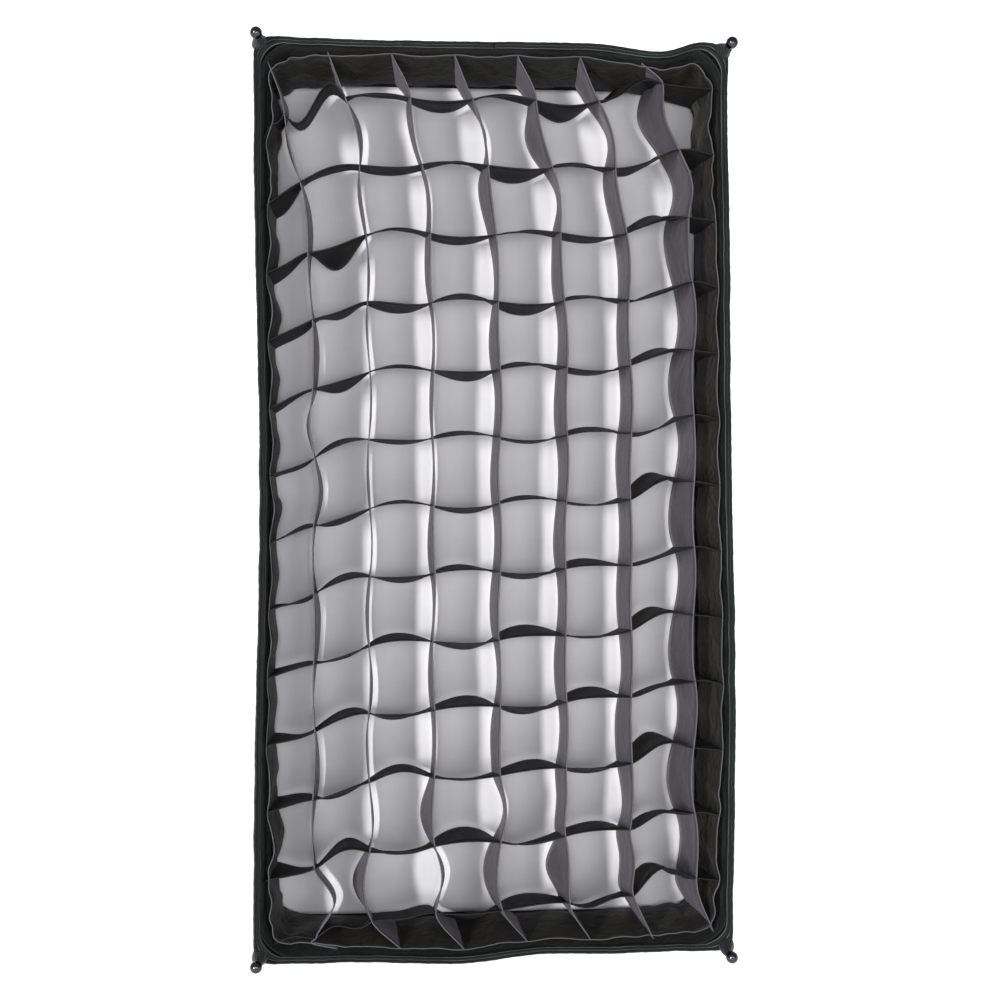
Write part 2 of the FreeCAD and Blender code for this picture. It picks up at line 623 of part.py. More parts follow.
diffuser_band = lip_band(sheet.border_start, sheet.diffuser_depth,
                         sheet.border_inset, sheet.border)
shape_feature("diffuser_border", diffuser_band)
diffuser_half = lip_half(sheet.diffuser_depth, sheet.border_inset)
diffuser_wire = rounded_wire(*diffuser_half, sheet.lip_radius - sheet.border_inset, sheet.diffuser_depth)
diffuser_cloth = Part.Face(diffuser_wire).extrude(FreeCAD.Vector(0, -sheet.soft_cloth, 0))
shape_feature("diffuser_cloth", diffuser_cloth)

# ---- inner baffle: cloth, edge tape, elastic straps, and the loop patches on the box ----

plate("baffle_cloth", "baffle_half_width", "baffle_half_height", "baffle_radius", "soft_cloth", "baffle_depth")
frame("baffle_edge_tape", ("baffle_half_width", "baffle_half_height"), "baffle_radius",
      ("baffle_half_width - baffle_tape", "baffle_half_height - baffle_tape"), "baffle_radius / 2",
      "border", "baffle_depth + soft_cloth")
straps = []
patches = []
for side in (-1, 1):
    for end in (-1, 1):
        strap_low = sheet.baffle_half_height - sheet.baffle_tape
        strap_high = sheet.baffle_half_height + sheet.strap_length
        left = side * sheet.strap_place - sheet.strap_width / 2
        strap_depth = sheet.baffle_depth + sheet.soft_cloth + sheet.border
        box = Part.makeBox(sheet.strap_width, 1, strap_high - strap_low,
                           FreeCAD.Vector(left, -strap_depth - 1, strap_low))
        patch = Part.makeBox(sheet.strap_width, 1, sheet.patch_height,
                             FreeCAD.Vector(left, -strap_depth + 0.3, strap_high - sheet.patch_height + 4))
        if end < 0:
            turn = FreeCAD.Placement(FreeCAD.Vector(), FreeCAD.Rotation(FreeCAD.Vector(0, 1, 0), 180))
            box = box.transformed(turn.toMatrix())
            patch = patch.transformed(turn.toMatrix())
        straps.append(box)
        patches.append(patch)
shape_feature("baffle_straps", Part.makeCompound(straps))
shape_feature("baffle_patches", Part.makeCompound(patches))

# ---- egg-crate grid: border band, upright strips and cross strips, half-lapped ----

strip_inset = sheet.border_inset + sheet.border
shape_feature("grid_border", lip_band(sheet.grid_back, sheet.grid_front, sheet.border_inset, sheet.border))
middle_depth = "(grid_back + grid_front) / 2"


def strip_half(which, depth):
    """Half length of a strip at a depth, as a formula: it ends on the border band."""
    return f"lip_half_{which} - (lip_depth - {depth}) * lip_flare_{'wide' if which == 'width' else 'high'}" \
           f" - {strip_inset}"


def grid_strip(label, upright, place):
    """One strip with its slots: an upright is slotted from the front, a cross strip from the back."""
    body = new_body(label)
    role = "YZ_Plane" if upright else "XY_Plane"
    which = "height" if upright else "width"
    sketch = new_sketch(body, role, label + "_outline")
    back_half = strip_half(which, "grid_back")
    front_half = strip_half(which, "grid_front")
    ends = [("-grid_back", f"-({back_half})"), ("-grid_front", f"-({front_half})"),
            ("-grid_front", front_half), ("-grid_back", back_half)]
    outline(sketch, ends if upright else [(up, across) for across, up in ends])
    pad(body, sketch, "strip", label + "_pad", middle=True)

    slots = sheet.rows if upright else sheet.columns
    pitch = "row_pitch" if upright else "column_pitch"
    first = f"-{pitch} * {int(slots - 1)} / 2"
    lap_start = "-grid_front - 1" if upright else f"-{middle_depth} - lap / 2"
    lap_end = f"-{middle_depth} + lap / 2" if upright else "-grid_back + 1"
    slot_corners = [(lap_start, f"{first} - slot / 2"), (lap_end, f"{first} - slot / 2"),
                    (lap_end, f"{first} + slot / 2"), (lap_start, f"{first} + slot / 2")]
    slot_sketch = new_sketch(body, role, label + "_slot_outline")
    outline(slot_sketch, slot_corners if upright else [(up, across) for across, up in slot_corners])
    slot = pocket(body, slot_sketch, label + "_slot", middle=True)
    doc.recompute()
    row = body.newObject("PartDesign::LinearPattern", label + "_slots")
    row.Originals = [slot]
    row.Direction = (slot_sketch, ["V_Axis" if upright else "H_Axis"])
    row.setExpression("Length", sized(f"{pitch} * {int(slots - 1)}"))
    row.Occurrences = int(slots)
    body.Tip = row
    body.Placement = FreeCAD.Placement(place, FreeCAD.Rotation())
    return body


for i in range(int(sheet.columns)):
    across = (i - (sheet.columns - 1) / 2) * sheet.column_pitch
    grid_strip(f"grid_upright_{i + 1}", True, FreeCAD.Vector(across, 0, 0))
for i in range(int(sheet.rows)):
    up = ((sheet.rows - 1) / 2 - i) * sheet.row_pitch
    grid_strip(f"grid_cross_{i + 1:02d}", False, FreeCAD.Vector(0, 0, up))

# ---- check and write ----

doc.recompute()
for thing in doc.Objects:
    if "Invalid" in thing.State or "Error" in thing.State:
        raise RuntimeError(f"{thing.Name} failed: {thing.State}")
for thing in made:
    if thing.Shape.isNull() or not thing.Shape.isValid() or not thing.Shape.Solids:
        raise RuntimeError(f"{thing.Label} has no sound shape")
os.makedirs("parts", exist_ok=True)
for thing in made:
    thing.Shape.exportStep(f"parts/{thing.Label}.step")
whole_box = FreeCAD.BoundBox()
for thing in made:
    whole_box.add(thing.Shape.BoundBox)
print(len(made), "nodes")
print(f"box {whole_box.XLength:.1f} x {whole_box.YLength:.1f} x {whole_box.ZLength:.1f}")
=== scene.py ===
import math
import random

import bmesh
import bpy
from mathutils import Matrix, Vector, noise


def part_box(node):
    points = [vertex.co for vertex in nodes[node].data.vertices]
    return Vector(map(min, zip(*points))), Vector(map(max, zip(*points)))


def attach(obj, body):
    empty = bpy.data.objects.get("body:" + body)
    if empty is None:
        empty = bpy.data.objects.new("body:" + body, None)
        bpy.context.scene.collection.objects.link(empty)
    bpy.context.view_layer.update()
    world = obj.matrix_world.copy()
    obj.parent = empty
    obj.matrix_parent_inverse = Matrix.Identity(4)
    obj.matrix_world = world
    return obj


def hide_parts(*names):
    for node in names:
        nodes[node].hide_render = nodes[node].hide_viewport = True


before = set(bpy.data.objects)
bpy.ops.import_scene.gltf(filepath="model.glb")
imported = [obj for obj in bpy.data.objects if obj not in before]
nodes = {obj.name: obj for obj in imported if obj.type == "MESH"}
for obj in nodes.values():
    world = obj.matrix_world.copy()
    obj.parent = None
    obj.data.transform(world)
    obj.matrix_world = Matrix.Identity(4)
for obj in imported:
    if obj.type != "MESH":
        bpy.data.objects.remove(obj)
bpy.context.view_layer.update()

corners = ("top_left", "top_right", "bottom_left", "bottom_right")
dice = random.Random(42)


# small helpers

def colour(hexText):
    parts = [int(hexText[i:i + 2], 16) / 255 for i in (1, 3, 5)]
    linear = [p / 12.92 if p <= 0.04045 else ((p + 0.055) / 1.055) ** 2.4 for p in parts]
    return (*linear, 1.0)


def addNode(tree, kind, settings, links=()):
    node = tree.nodes.new(kind)
    for key, value in settings.items():
        if isinstance(key, str) and hasattr(node, key):
            setattr(node, key, value)
        else:
            node.inputs[key].default_value = value
    for key, source in dict(links).items():
        tree.links.new(source, node.inputs[key])
    return node


def ease(value):
    value = max(0.0, min(1.0, value))
    return value * value * (3 - 2 * value)


def roughly(point, size, seed=0.0):
    # smooth noise from -1 to 1 with bumps of about that size in metres
    return noise.noise(Vector(point) / size + Vector((seed, seed * 1.7, -seed)))


def layFlat(bm, cut):
    # the piece's own map, in metres of flat cloth
    layer = bm.loops.layers.uv.new("cloth")
    for face in bm.faces:
        for loop in face.loops:
            loop[layer].uv = cut(loop.vert.co)


def startRing(bm, segments, radius):
    ring = bmesh.ops.create_circle(bm, segments=segments, radius=radius)["verts"]
    return ring, bm.edges[:]


def growRing(bm, edges):
    # carries an open ring of edges one step on; gives the new points and the new edges
    made = bmesh.ops.extrude_edge_only(bm, edges=edges)["geom"]
    ring = [part for part in made if isinstance(part, bmesh.types.BMVert)]
    edges = [part for part in made if isinstance(part, bmesh.types.BMEdge)
             and all(vert in ring for vert in part.verts)]
    return ring, edges


def clothGrid(flat, cells, place, closed=False):
    # a flat cut of cloth, bent into place; its own map keeps the flat size in metres
    bm = bmesh.new()
    bmesh.ops.create_grid(bm, x_segments=cells[0], y_segments=cells[1], size=0.5)
    layFlat(bm, lambda co: ((co.x + 0.5) * flat[0], (co.y + 0.5) * flat[1]))
    for vert in bm.verts:
        vert.co = place(vert.co.x + 0.5, vert.co.y + 0.5)
    if closed:
        bmesh.ops.remove_doubles(bm, verts=bm.verts, dist=0.00002)
    return bm


def faceAway(bm, centre):
    # turns a sheet so that its outside looks away from a point or from the line through it
    bm.normal_update()
    total = sum(face.normal.dot(face.calc_center_median() - centre) for face in bm.faces)
    if total < 0:
        bmesh.ops.reverse_faces(bm, faces=bm.faces)


def finishPiece(name, bm, body, looks, replaces=(), thick=0, side=0, lining=0, smooth=True,
                levels=0):
    bm.normal_update()
    mesh = bpy.data.meshes.new(name)
    bm.to_mesh(mesh)
    bm.free()
    piece = bpy.data.objects.new(name, mesh)
    bpy.context.scene.collection.objects.link(piece)
    for look in looks:
        mesh.materials.append(look)
    if smooth:
        mesh.shade_smooth()
    if levels:
        sub = piece.modifiers.new("Soften", "SUBSURF")
        sub.levels = levels
        sub.render_levels = levels
    if thick:
        wall = piece.modifiers.new("Thickness", "SOLIDIFY")
        wall.thickness = thick
        wall.offset = side
        wall.use_even_offset = False
        wall.material_offset = lining
        wall.material_offset_rim = len(looks) - 1 if len(looks) > 1 else 0
    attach(piece, body)
    if replaces:
        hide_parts(*replaces)
    return piece


# materials

def waveScale(spacing):
    # a wave texture's scale for bands that far apart in millimetres
    return 2 * math.pi / 20 / (spacing / 1000)


def wovenCloth(name, look):
    # base colours dark and light, thread in mm, and how the surface takes light
    material = bpy.data.materials.new(name)
    material.use_nodes = True
    tree = material.node_tree
    tree.nodes.clear()
    flat = addNode(tree, "ShaderNodeUVMap", {"uv_map": "cloth"})
    solid = addNode(tree, "ShaderNodeTexCoord", {})
    warp = addNode(tree, "ShaderNodeTexWave", {"bands_direction": "X", "Scale": waveScale(look["thread"]),
                                               "Distortion": 0.8, "Detail": 1.0},
                   {"Vector": flat.outputs["UV"]})
    weft = addNode(tree, "ShaderNodeTexWave", {"bands_direction": "Y", "Scale": waveScale(look["thread"]),
                                               "Distortion": 0.8, "Detail": 1.0},
                   {"Vector": flat.outputs["UV"]})
    weave = addNode(tree, "ShaderNodeMath", {"operation": "MULTIPLY"},
                    {0: warp.outputs["Fac"], 1: weft.outputs["Fac"]})
    blotch = addNode(tree, "ShaderNodeTexNoise", {"Scale": 1000 / look.get("blotch", 45), "Detail": 3.0},
                     {"Vector": solid.outputs["Object"]})
    lint = addNode(tree, "ShaderNodeTexNoise", {"Scale": 1000 / look.get("lint", 2.2), "Detail": 2.0},
                   {"Vector": solid.outputs["Object"]})
    tint = addNode(tree, "ShaderNodeMix", {"data_type": "RGBA", 6: colour(look["dark"]),
                                           7: colour(look["light"])},
                   {0: blotch.outputs["Fac"]})
    # painted shade: the colour darkened where the weave's threads dip, by the weaveShade share
    weaveShaded = addNode(tree, "ShaderNodeMix", {"data_type": "RGBA", "blend_type": "MULTIPLY",
                                           0: look.get("weaveShade", 0.35)},
                   {6: tint.outputs[2], 7: weave.outputs[0]})
    finish = weaveShaded.outputs[2]
    height = weave.outputs[0]
    if look.get("ripstop"):
        # heavier threads every few millimetres, both ways
        parts = addNode(tree, "ShaderNodeSeparateXYZ", {}, {0: flat.outputs["UV"]})
        lines = []
        for axis in (0, 1):
            count = addNode(tree, "ShaderNodeMath", {"operation": "MULTIPLY", 1: 1000 / look["ripstop"]},
                            {0: parts.outputs[axis]})
            share = addNode(tree, "ShaderNodeMath", {"operation": "FRACT"}, {0: count.outputs[0]})
            lines.append(addNode(tree, "ShaderNodeMath", {"operation": "LESS_THAN", 1: 0.14},
                                 {0: share.outputs[0]}))
        ribs = addNode(tree, "ShaderNodeMath", {"operation": "MAXIMUM"},
                       {0: lines[0].outputs[0], 1: lines[1].outputs[0]})
        both = addNode(tree, "ShaderNodeMath", {"operation": "MULTIPLY_ADD", 1: 0.8},
                       {0: ribs.outputs[0], 2: height})
        height = both.outputs[0]
        ribTint = addNode(tree, "ShaderNodeMath", {"operation": "MULTIPLY", 1: 0.08}, {0: ribs.outputs[0]})
        ribbed = addNode(tree, "ShaderNodeMix", {"data_type": "RGBA", 7: colour(look["light"])},
                         {0: ribTint.outputs[0], 6: finish})
        finish = ribbed.outputs[2]
    for row in look.get("stitchRows", ()):
        # a row of lockstitch along the cloth at that distance from its edge, 3 mm a stitch
        parts = addNode(tree, "ShaderNodeSeparateXYZ", {}, {0: flat.outputs["UV"]})
        near = addNode(tree, "ShaderNodeMath", {"operation": "COMPARE", 1: row, 2: 0.00045},
                       {0: parts.outputs[1]})
        count = addNode(tree, "ShaderNodeMath", {"operation": "MULTIPLY", 1: 1000 / 3.4},
                        {0: parts.outputs[0]})
        share = addNode(tree, "ShaderNodeMath", {"operation": "FRACT"}, {0: count.outputs[0]})
        dash = addNode(tree, "ShaderNodeMath", {"operation": "LESS_THAN", 1: 0.68}, {0: share.outputs[0]})
        stitch = addNode(tree, "ShaderNodeMath", {"operation": "MULTIPLY"},
                         {0: near.outputs[0], 1: dash.outputs[0]})
        sewn = addNode(tree, "ShaderNodeMix", {"data_type": "RGBA", 7: colour(look["threadAndHighlightColour"])},
                       {0: stitch.outputs[0], 6: finish})
        finish = sewn.outputs[2]
        raised = addNode(tree, "ShaderNodeMath", {"operation": "MULTIPLY_ADD", 1: 1.6},
                         {0: stitch.outputs[0], 2: height})
        height = raised.outputs[0]
    for row in look.get("paintedHighlightRows", ()):
        # painted highlight: a pale line along the tape where its rolled ridge would catch the light, fading
        # in patches with the blotch noise
        parts = addNode(tree, "ShaderNodeSeparateXYZ", {}, {0: flat.outputs["UV"]})
        near = addNode(tree, "ShaderNodeMath", {"operation": "COMPARE", 1: row, 2: 0.00042},
                       {0: parts.outputs[1]})
        faded = addNode(tree, "ShaderNodeMath", {"operation": "MULTIPLY"},
                        {0: near.outputs[0], 1: blotch.outputs["Fac"]})
        ridge = addNode(tree, "ShaderNodeMix", {"data_type": "RGBA", 7: colour(look["threadAndHighlightColour"])},
                        {0: faded.outputs[0], 6: finish})
        finish = ridge.outputs[2]
    rough = addNode(tree, "ShaderNodeMapRange",
                    {"To Min": look["rough"] - 0.07, "To Max": look["rough"] + 0.07},
                    {"Value": lint.outputs["Fac"]})
    crease = addNode(tree, "ShaderNodeTexNoise", {"Scale": 1000 / look.get("creaseSize", 30), "Detail": 2.0,
                                                  "Distortion": 1.2},
                     {"Vector": solid.outputs["Object"]})
    folds = addNode(tree, "ShaderNodeBump", {"Strength": look.get("crease", 0.3), "Distance": 0.004},
                    {"Height": crease.outputs["Fac"]})
    threads = addNode(tree, "ShaderNodeBump", {"Strength": look.get("bump", 0.5), "Distance": 0.0004},
                      {"Height": height, "Normal": folds.outputs[0]})
    shader = addNode(tree, "ShaderNodeBsdfPrincipled",
                     {"Metallic": look.get("metal", 0.0), "Specular IOR Level": look.get("gloss", 0.3),
                      "Sheen Weight": look.get("sheen", 0.0), "Sheen Roughness": 0.45,
                      "Sheen Tint": colour(look.get("sheenTint", "#b8b8bc"))},
                     {"Base Color": finish, "Roughness": rough.outputs[0], "Normal": threads.outputs[0]})
    addNode(tree, "ShaderNodeOutputMaterial", {}, {"Surface": shader.outputs[0]})
    return material


def hardFinish(name, look):
    # metals and mouldings: tone drift and fine grain
    material = bpy.data.materials.new(name)
    material.use_nodes = True
    tree = material.node_tree
    tree.nodes.clear()
    solid = addNode(tree, "ShaderNodeTexCoord", {})
    stretch = addNode(tree, "ShaderNodeMapping", {"Scale": look.get("stretch", (1, 1, 1))},
                      {"Vector": solid.outputs["Object"]})
    drift = addNode(tree, "ShaderNodeTexNoise", {"Scale": 1000 / look.get("drift", 14), "Detail": 3.0},
                    {"Vector": solid.outputs["Object"]})
    grain = addNode(tree, "ShaderNodeTexNoise", {"Scale": 1000 / look["grain"], "Detail": 4.0},
                    {"Vector": stretch.outputs[0]})
    tint = addNode(tree, "ShaderNodeMix", {"data_type": "RGBA", 6: colour(look["dark"]),
                                           7: colour(look["light"])},
                   {0: drift.outputs["Fac"]})
    rough = addNode(tree, "ShaderNodeMapRange",
                    {"To Min": look["rough"] - 0.08, "To Max": look["rough"] + 0.1},
                    {"Value": grain.outputs["Fac"]})
    bump = addNode(tree, "ShaderNodeBump", {"Strength": look["bump"], "Distance": 0.0002},
                   {"Height": grain.outputs["Fac"]})
    shader = addNode(tree, "ShaderNodeBsdfPrincipled",
                     {"Metallic": look["metal"], "Coat Weight": look.get("coat", 0.0), "Coat Roughness": 0.2},
                     {"Base Color": tint.outputs[2], "Roughness": rough.outputs[0],
                      "Normal": bump.outputs[0]})
    addNode(tree, "ShaderNodeOutputMaterial", {}, {"Surface": shader.outputs[0]})
    return material


# coated pack cloth, calendered: black with a slight oily sheen; its weave is drawn coarse so that it shows
coatedNylon = wovenCloth("coatedNylonOxford", {
    "dark": "#0e0f10", "light": "#1b1c1e", "thread": 1.3, "rough": 0.55, "sheen": 0.15, "bump": 0.5,
    "crease": 0.35, "creaseSize": 55, "stitchRows": (0.004, 0.008), "threadAndHighlightColour": "#26282a"})
# aluminised film on cloth: bright, crinkled, hardly any colour
silverLining = wovenCloth("aluminisedLiningCloth", {
    "dark": "#a9abad", "light": "#d9dbdc", "thread": 1.3, "rough": 0.38, "metal": 0.85, "weaveShade": 0.1,
    "bump": 0.35, "crease": 0.6, "creaseSize": 22})
# folded grosgrain binding: dull black and ribbed, with a grey-green sheen on its edges and three thin
# grey-green lines painted along it as painted highlights on its rolled edges
bindingTape = wovenCloth("grosgrainBindingTape", {
    "dark": "#060707", "light": "#0c0d0d", "thread": 1.0, "rough": 0.6, "sheen": 0.06,
    "sheenTint": "#9aa19f", "bump": 0.6, "crease": 0.35, "creaseSize": 18,
    "paintedHighlightRows": (0.0056, 0.0124, 0.0203), "threadAndHighlightColour": "#868e8b"})
# plain polyester lining: matt, near black
liningCloth = wovenCloth("plainPolyesterLining", {
    "dark": "#070808", "light": "#101112", "thread": 1.2, "rough": 0.75, "sheen": 0.12, "bump": 0.4,
    "crease": 0.5, "creaseSize": 16})
# loop pile: fuzzy, swallows light
loopPile = wovenCloth("brushedLoopTape", {
    "dark": "#0b0b0c", "light": "#1a1a1b", "thread": 0.9, "lint": 0.8, "rough": 0.9, "sheen": 0.4,
    "bump": 1.0, "crease": 0.2})
# hook tape with a sewn selvedge: stiff, slightly shiny
hookTape = wovenCloth("hookTapeWithSelvedge", {
    "dark": "#0c0c0d", "light": "#1d1d1f", "thread": 1.6, "rough": 0.5, "sheen": 0.2, "bump": 0.9,
    "stitchRows": (0.002, 0.017), "threadAndHighlightColour": "#2b2b2d"})
# taffeta strips of the grid: black cloth painted charcoal as a painted-light copy, standing in for the side
# lamp's light on the uprights; it goes grey where light rakes over it
uprightTaffetaPaintedLight = wovenCloth("paintedLightTaffetaGridStrip", {
    "dark": "#353337", "light": "#434146", "thread": 0.9, "rough": 0.6, "sheen": 0.3,
    "sheenTint": "#c9c4cc", "bump": 0.35, "crease": 0.25, "creaseSize": 20, "weaveShade": 0.2})
# the strips that cross them: the same cloth painted near black, a painted-shade copy standing in for the
# shade they lie in away from the side lamps
crossTaffetaPaintedShade = wovenCloth("paintedShadeTaffetaCrossStrip", {
    "dark": "#070707", "light": "#0f0e0f", "thread": 0.9, "rough": 0.7, "sheen": 0.04, "bump": 0.35,
    "crease": 0.25, "creaseSize": 20, "weaveShade": 0.2, "gloss": 0.15})
# the crossing strips' cut edge, painted near black: painted shade, a shaded copy of the pale edge below
crossEdgePaintedShade = wovenCloth("paintedShadeTaffetaEdge", {
    "dark": "#0d0d0d", "light": "#171617", "thread": 0.9, "rough": 0.6, "bump": 0.3, "weaveShade": 0.1})
# stiffened band round the grid: the same cloth, laminated and darker
bandTaffeta = wovenCloth("laminatedTaffetaBand", {
    "dark": "#0d0d0d", "light": "#1a1918", "thread": 0.9, "rough": 0.6, "sheen": 0.12,
    "sheenTint": "#c4beb8", "bump": 0.35, "crease": 0.5, "creaseSize": 14, "weaveShade": 0.2})
# heat-cut edge of that cloth, painted pale: a painted highlight where light catches the edges of the uprights
# and of the band
cutEdgePaintedLight = wovenCloth("paintedLightTaffetaEdge", {
    "dark": "#454447", "light": "#626064", "thread": 0.9, "rough": 0.45, "bump": 0.3, "weaveShade": 0.1})
# white ripstop diffusion cloth: soft white, faint squares and fold marks
diffusionCloth = wovenCloth("whiteRipstopDiffusion", {
    "dark": "#dcdade", "light": "#efeef0", "thread": 1.2, "rough": 0.6, "ripstop": 6.0, "bump": 0.12,
    "crease": 0.22, "creaseSize": 60, "weaveShade": 0.04, "gloss": 0.25})
# knitted elastic and polyamide webbing: ribbed along the band
elasticBand = wovenCloth("knittedElastic", {
    "dark": "#0d0d0e", "light": "#1c1c1e", "thread": 1.5, "rough": 0.7, "sheen": 0.3, "bump": 1.0})
nylonWebbing = wovenCloth("polyamideWebbing", {
    "dark": "#0c0d0d", "light": "#1e2121", "thread": 1.8, "rough": 0.55, "sheen": 0.35, "bump": 1.0})
# die-cast aluminium ring, bead-blasted and anodised black
anodisedRing = hardFinish("blackAnodisedAluminium", {
    "dark": "#17181a", "light": "#232527", "grain": 0.9, "rough": 0.42, "metal": 0.9, "bump": 0.25})
# zinc castings, tumbled and lacquered: darker, a touch glossier
castHolder = hardFinish("lacqueredZincCasting", {
    "dark": "#202225", "light": "#2d3034", "grain": 1.4, "rough": 0.36, "metal": 0.8, "bump": 0.3,
    "coat": 0.3})
# black-oxide screws: oily blue-black, lighter in small random patches
blackOxide = hardFinish("blackOxideSteel", {
    "dark": "#101114", "light": "#2a2c31", "grain": 0.7, "drift": 4, "rough": 0.35, "metal": 1.0,
    "bump": 0.2})
# turned brass pad: yellow with rings from the lathe
turnedBrass = hardFinish("turnedBrass", {
    "dark": "#9c7a34", "light": "#c49d4d", "grain": 0.5, "rough": 0.28, "metal": 1.0, "bump": 0.2,
    "stretch": (6, 1, 1)})
# moulded ABS knob with a spark-eroded texture
mouldedAbs = hardFinish("mouldedAbs", {
    "dark": "#111213", "light": "#1b1c1d", "grain": 0.6, "rough": 0.5, "metal": 0.0, "bump": 0.35})
# drawn spring steel, polished grey, streaked along its length
springSteel = hardFinish("drawnSpringSteel", {
    "dark": "#6b6e72", "light": "#9a9da1", "grain": 1.2, "rough": 0.27, "metal": 1.0, "bump": 0.12,
    "stretch": (1, 0.1, 1)})
# turned steel ball, black nickel plated: dark mirror with a soft highlight
blackNickel = hardFinish("blackNickelPlate", {
    "dark": "#3c3a3d", "light": "#57545a", "grain": 0.8, "rough": 0.2, "metal": 1.0, "bump": 0.06})
print("materials:", len(bpy.data.materials))

bySlot = {"ring_metal": anodisedRing, "holder_metal": castHolder, "fastener_steel": blackOxide,
          "pad_brass": turnedBrass, "knob_plastic": mouldedAbs, "rod_steel": springSteel,
          "ball_metal": blackNickel}
kept = {"ring_metal": ("bayonet_insert", "retaining_plate", "speed_ring"),
        "fastener_steel": ("retaining_screws", "holder_screws", "lock_stud"),
        "pad_brass": ("lock_pad",), "knob_plastic": ("lock_knob",),
        "holder_metal": tuple("rod_holder_" + c for c in corners),
        "rod_steel": tuple("rod_" + c for c in corners),
        "ball_metal": tuple("ball_tip_" + c for c in corners)}
for slotName, names in kept.items():
    for nodeName in names:
        mesh = nodes[nodeName].data
        mesh.materials.clear()
        mesh.materials.append(bySlot[slotName])


# how the open mouth has been pulled out of true

mouth = {
    "pulls": (  # where, which way it has moved, and how far along the edge that reaches
        ((-0.182, 0.005), (0.0048, 0.0), 0.120),
        ((0.182, -0.170), (0.0042, 0.0), 0.120),
        ((0.182, 0.300), (-0.0022, 0.0), 0.050),
        ((0.128, 0.350), (0.0, -0.0058), 0.026),
        ((0.158, 0.350), (0.0, 0.0048), 0.013),
        ((-0.060, 0.350), (0.0, -0.0012), 0.070),
        ((-0.028, -0.350), (0.0, -0.0034), 0.028),
        ((0.036, -0.350), (0.0, 0.0032), 0.030),
        ((0.140, -0.350), (0.0, 0.0034), 0.050)),
    "ripple": 0.0009, "rippleSize": 0.035, "front": -0.400, "still": -0.290}


def pulled(x, y, z):
    # shifts a point near the mouth the way the cloth has been pulled
    share = ease((mouth["still"] - y) / (mouth["still"] - mouth["front"]))
    shift = Vector((0, 0, 0))
    for (atX, atZ), (moveX, moveZ), reach in mouth["pulls"]:
        near = math.exp(-((x - atX) ** 2 + (z - atZ) ** 2) / (2 * reach * reach))
        shift += Vector((moveX, 0, moveZ)) * near
    wave = roughly((x, 0, z), mouth["rippleSize"], 3.1) * mouth["ripple"]
    shift += Vector((math.copysign(wave, x) if abs(x) > 0.15 else 0, 0,
                     math.copysign(wave, z) if abs(z) > 0.3 else 0))
    return Vector((x, y, z)) + shift * share


def loopPoint(share, wide, high, radius):
    # a point and its outward direction on a rounded rectangle, from the top middle clockwise
    flatX, flatZ, arc = wide - radius, high - radius, math.pi * radius / 2
    runs = (flatX, arc, 2 * flatZ, arc, 2 * flatX, arc, 2 * flatZ, arc, flatX)
    left = (share % 1.0) * sum(runs)
    for index, run in enumerate(runs):
        if left <= run or index == 8:
            break
        left -= run
    along = left / run
    if index in (1, 3, 5, 7):
        angle = math.pi / 2 - math.pi / 2 * ((index - 1) / 2 + along)
        middle = ((flatX, flatZ), (flatX, -flatZ), (-flatX, -flatZ), (-flatX, flatZ))[(index - 1) // 2]
        out = (math.cos(angle), math.sin(angle))
        return middle[0] + out[0] * radius, middle[1] + out[1] * radius, out
    starts = {0: (0, high), 2: (wide, flatZ), 4: (flatX, -high), 6: (-wide, -flatZ), 8: (-flatX, high)}
    ways = {0: (1, 0), 2: (0, -1), 4: (-1, 0), 6: (0, 1), 8: (1, 0)}
    outs = {0: (0, 1), 2: (1, 0), 4: (0, -1), 6: (-1, 0), 8: (0, 1)}
    start, way = starts[index], ways[index]
    return start[0] + way[0] * left, start[1] + way[1] * left, outs[index]


def loopLength(wide, high, radius):
    return 4 * (wide - radius) + 4 * (high - radius) + 2 * math.pi * radius


# the lip's inside, read off the frame: half sizes at a depth
lip = {"wide": 0.1784, "high": 0.345, "at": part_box("lip_lining")[0].y, "flareX": 0.06, "flareZ": 0.12,
       "radius": 0.028}


def lipHalf(y, inset):
    back = y - lip["at"]
    return lip["wide"] - back * lip["flareX"] - inset, lip["high"] - back * lip["flareZ"] - inset


def band(name, body, look, node, settings):
    # a tape or lining that runs right round the inside of the lip
    wide, high = lipHalf(settings["front"], settings["inset"])
    length = loopLength(wide, high, lip["radius"])
    depth = abs(settings["back"] - settings["front"])

    def place(u, v):
        y = settings["front"] + (settings["back"] - settings["front"]) * v
        wide, high = lipHalf(y, settings["inset"])
        radius = lip["radius"] - settings["inset"]
        x, z, out = loopPoint(u, wide, high, radius)
        inward = settings["wrinkle"] * (0.5 + 0.5 * roughly((x, y, z), settings["wrinkleSize"], 7.0))
        corner = ease((abs(x) / wide + abs(z) / high - 1.55) / 0.3)
        inward += settings.get("crumple", 0.0) * corner * (0.5 + 0.5 * roughly((x, y, z), 0.014, 11.0))
        return pulled(x - out[0] * inward, y, z - out[1] * inward)

    bm = clothGrid((length, depth), (360, settings["rows"]), place, closed=True)
    faceAway(bm, Vector((0, settings["front"], 0)))
    piece = finishPiece(name, bm, body, (look,), (node,) if node else (), settings["thick"])
    return piece


# lip lining, tapes, diffuser border

band("inner_lip", "box", liningCloth, "lip_lining",
     {"front": -0.3975, "back": -0.312, "inset": 0.0003, "rows": 22, "thick": 0.0006, "wrinkle": 0.0006,
      "wrinkleSize": 0.03, "on": "rim_hem"})
tape = {"inset": 0.0014, "rows": 5, "thick": 0.0008, "wrinkle": 0.0004, "wrinkleSize": 0.03,
        "on": "lip_lining"}
band("loop_tape_front", "box", loopPile, "lip_loop_tapes",
     {**tape, "front": -0.369, "back": -0.344})
band("loop_tape_rear", "box", loopPile, None, {**tape, "front": -0.331, "back": -0.314})
band("diffuser_hook_border", "diffuser", hookTape, "diffuser_border",
     {**tape, "inset": 0.0028, "front": -0.3318, "back": -0.313, "on": "lip_loop_tapes"})

diffuser = {"sag": 0.0035, "slack": 0.0016, "radius": 0.0259, "thick": 0.0006}
diffuserLow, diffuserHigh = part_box("diffuser_cloth")


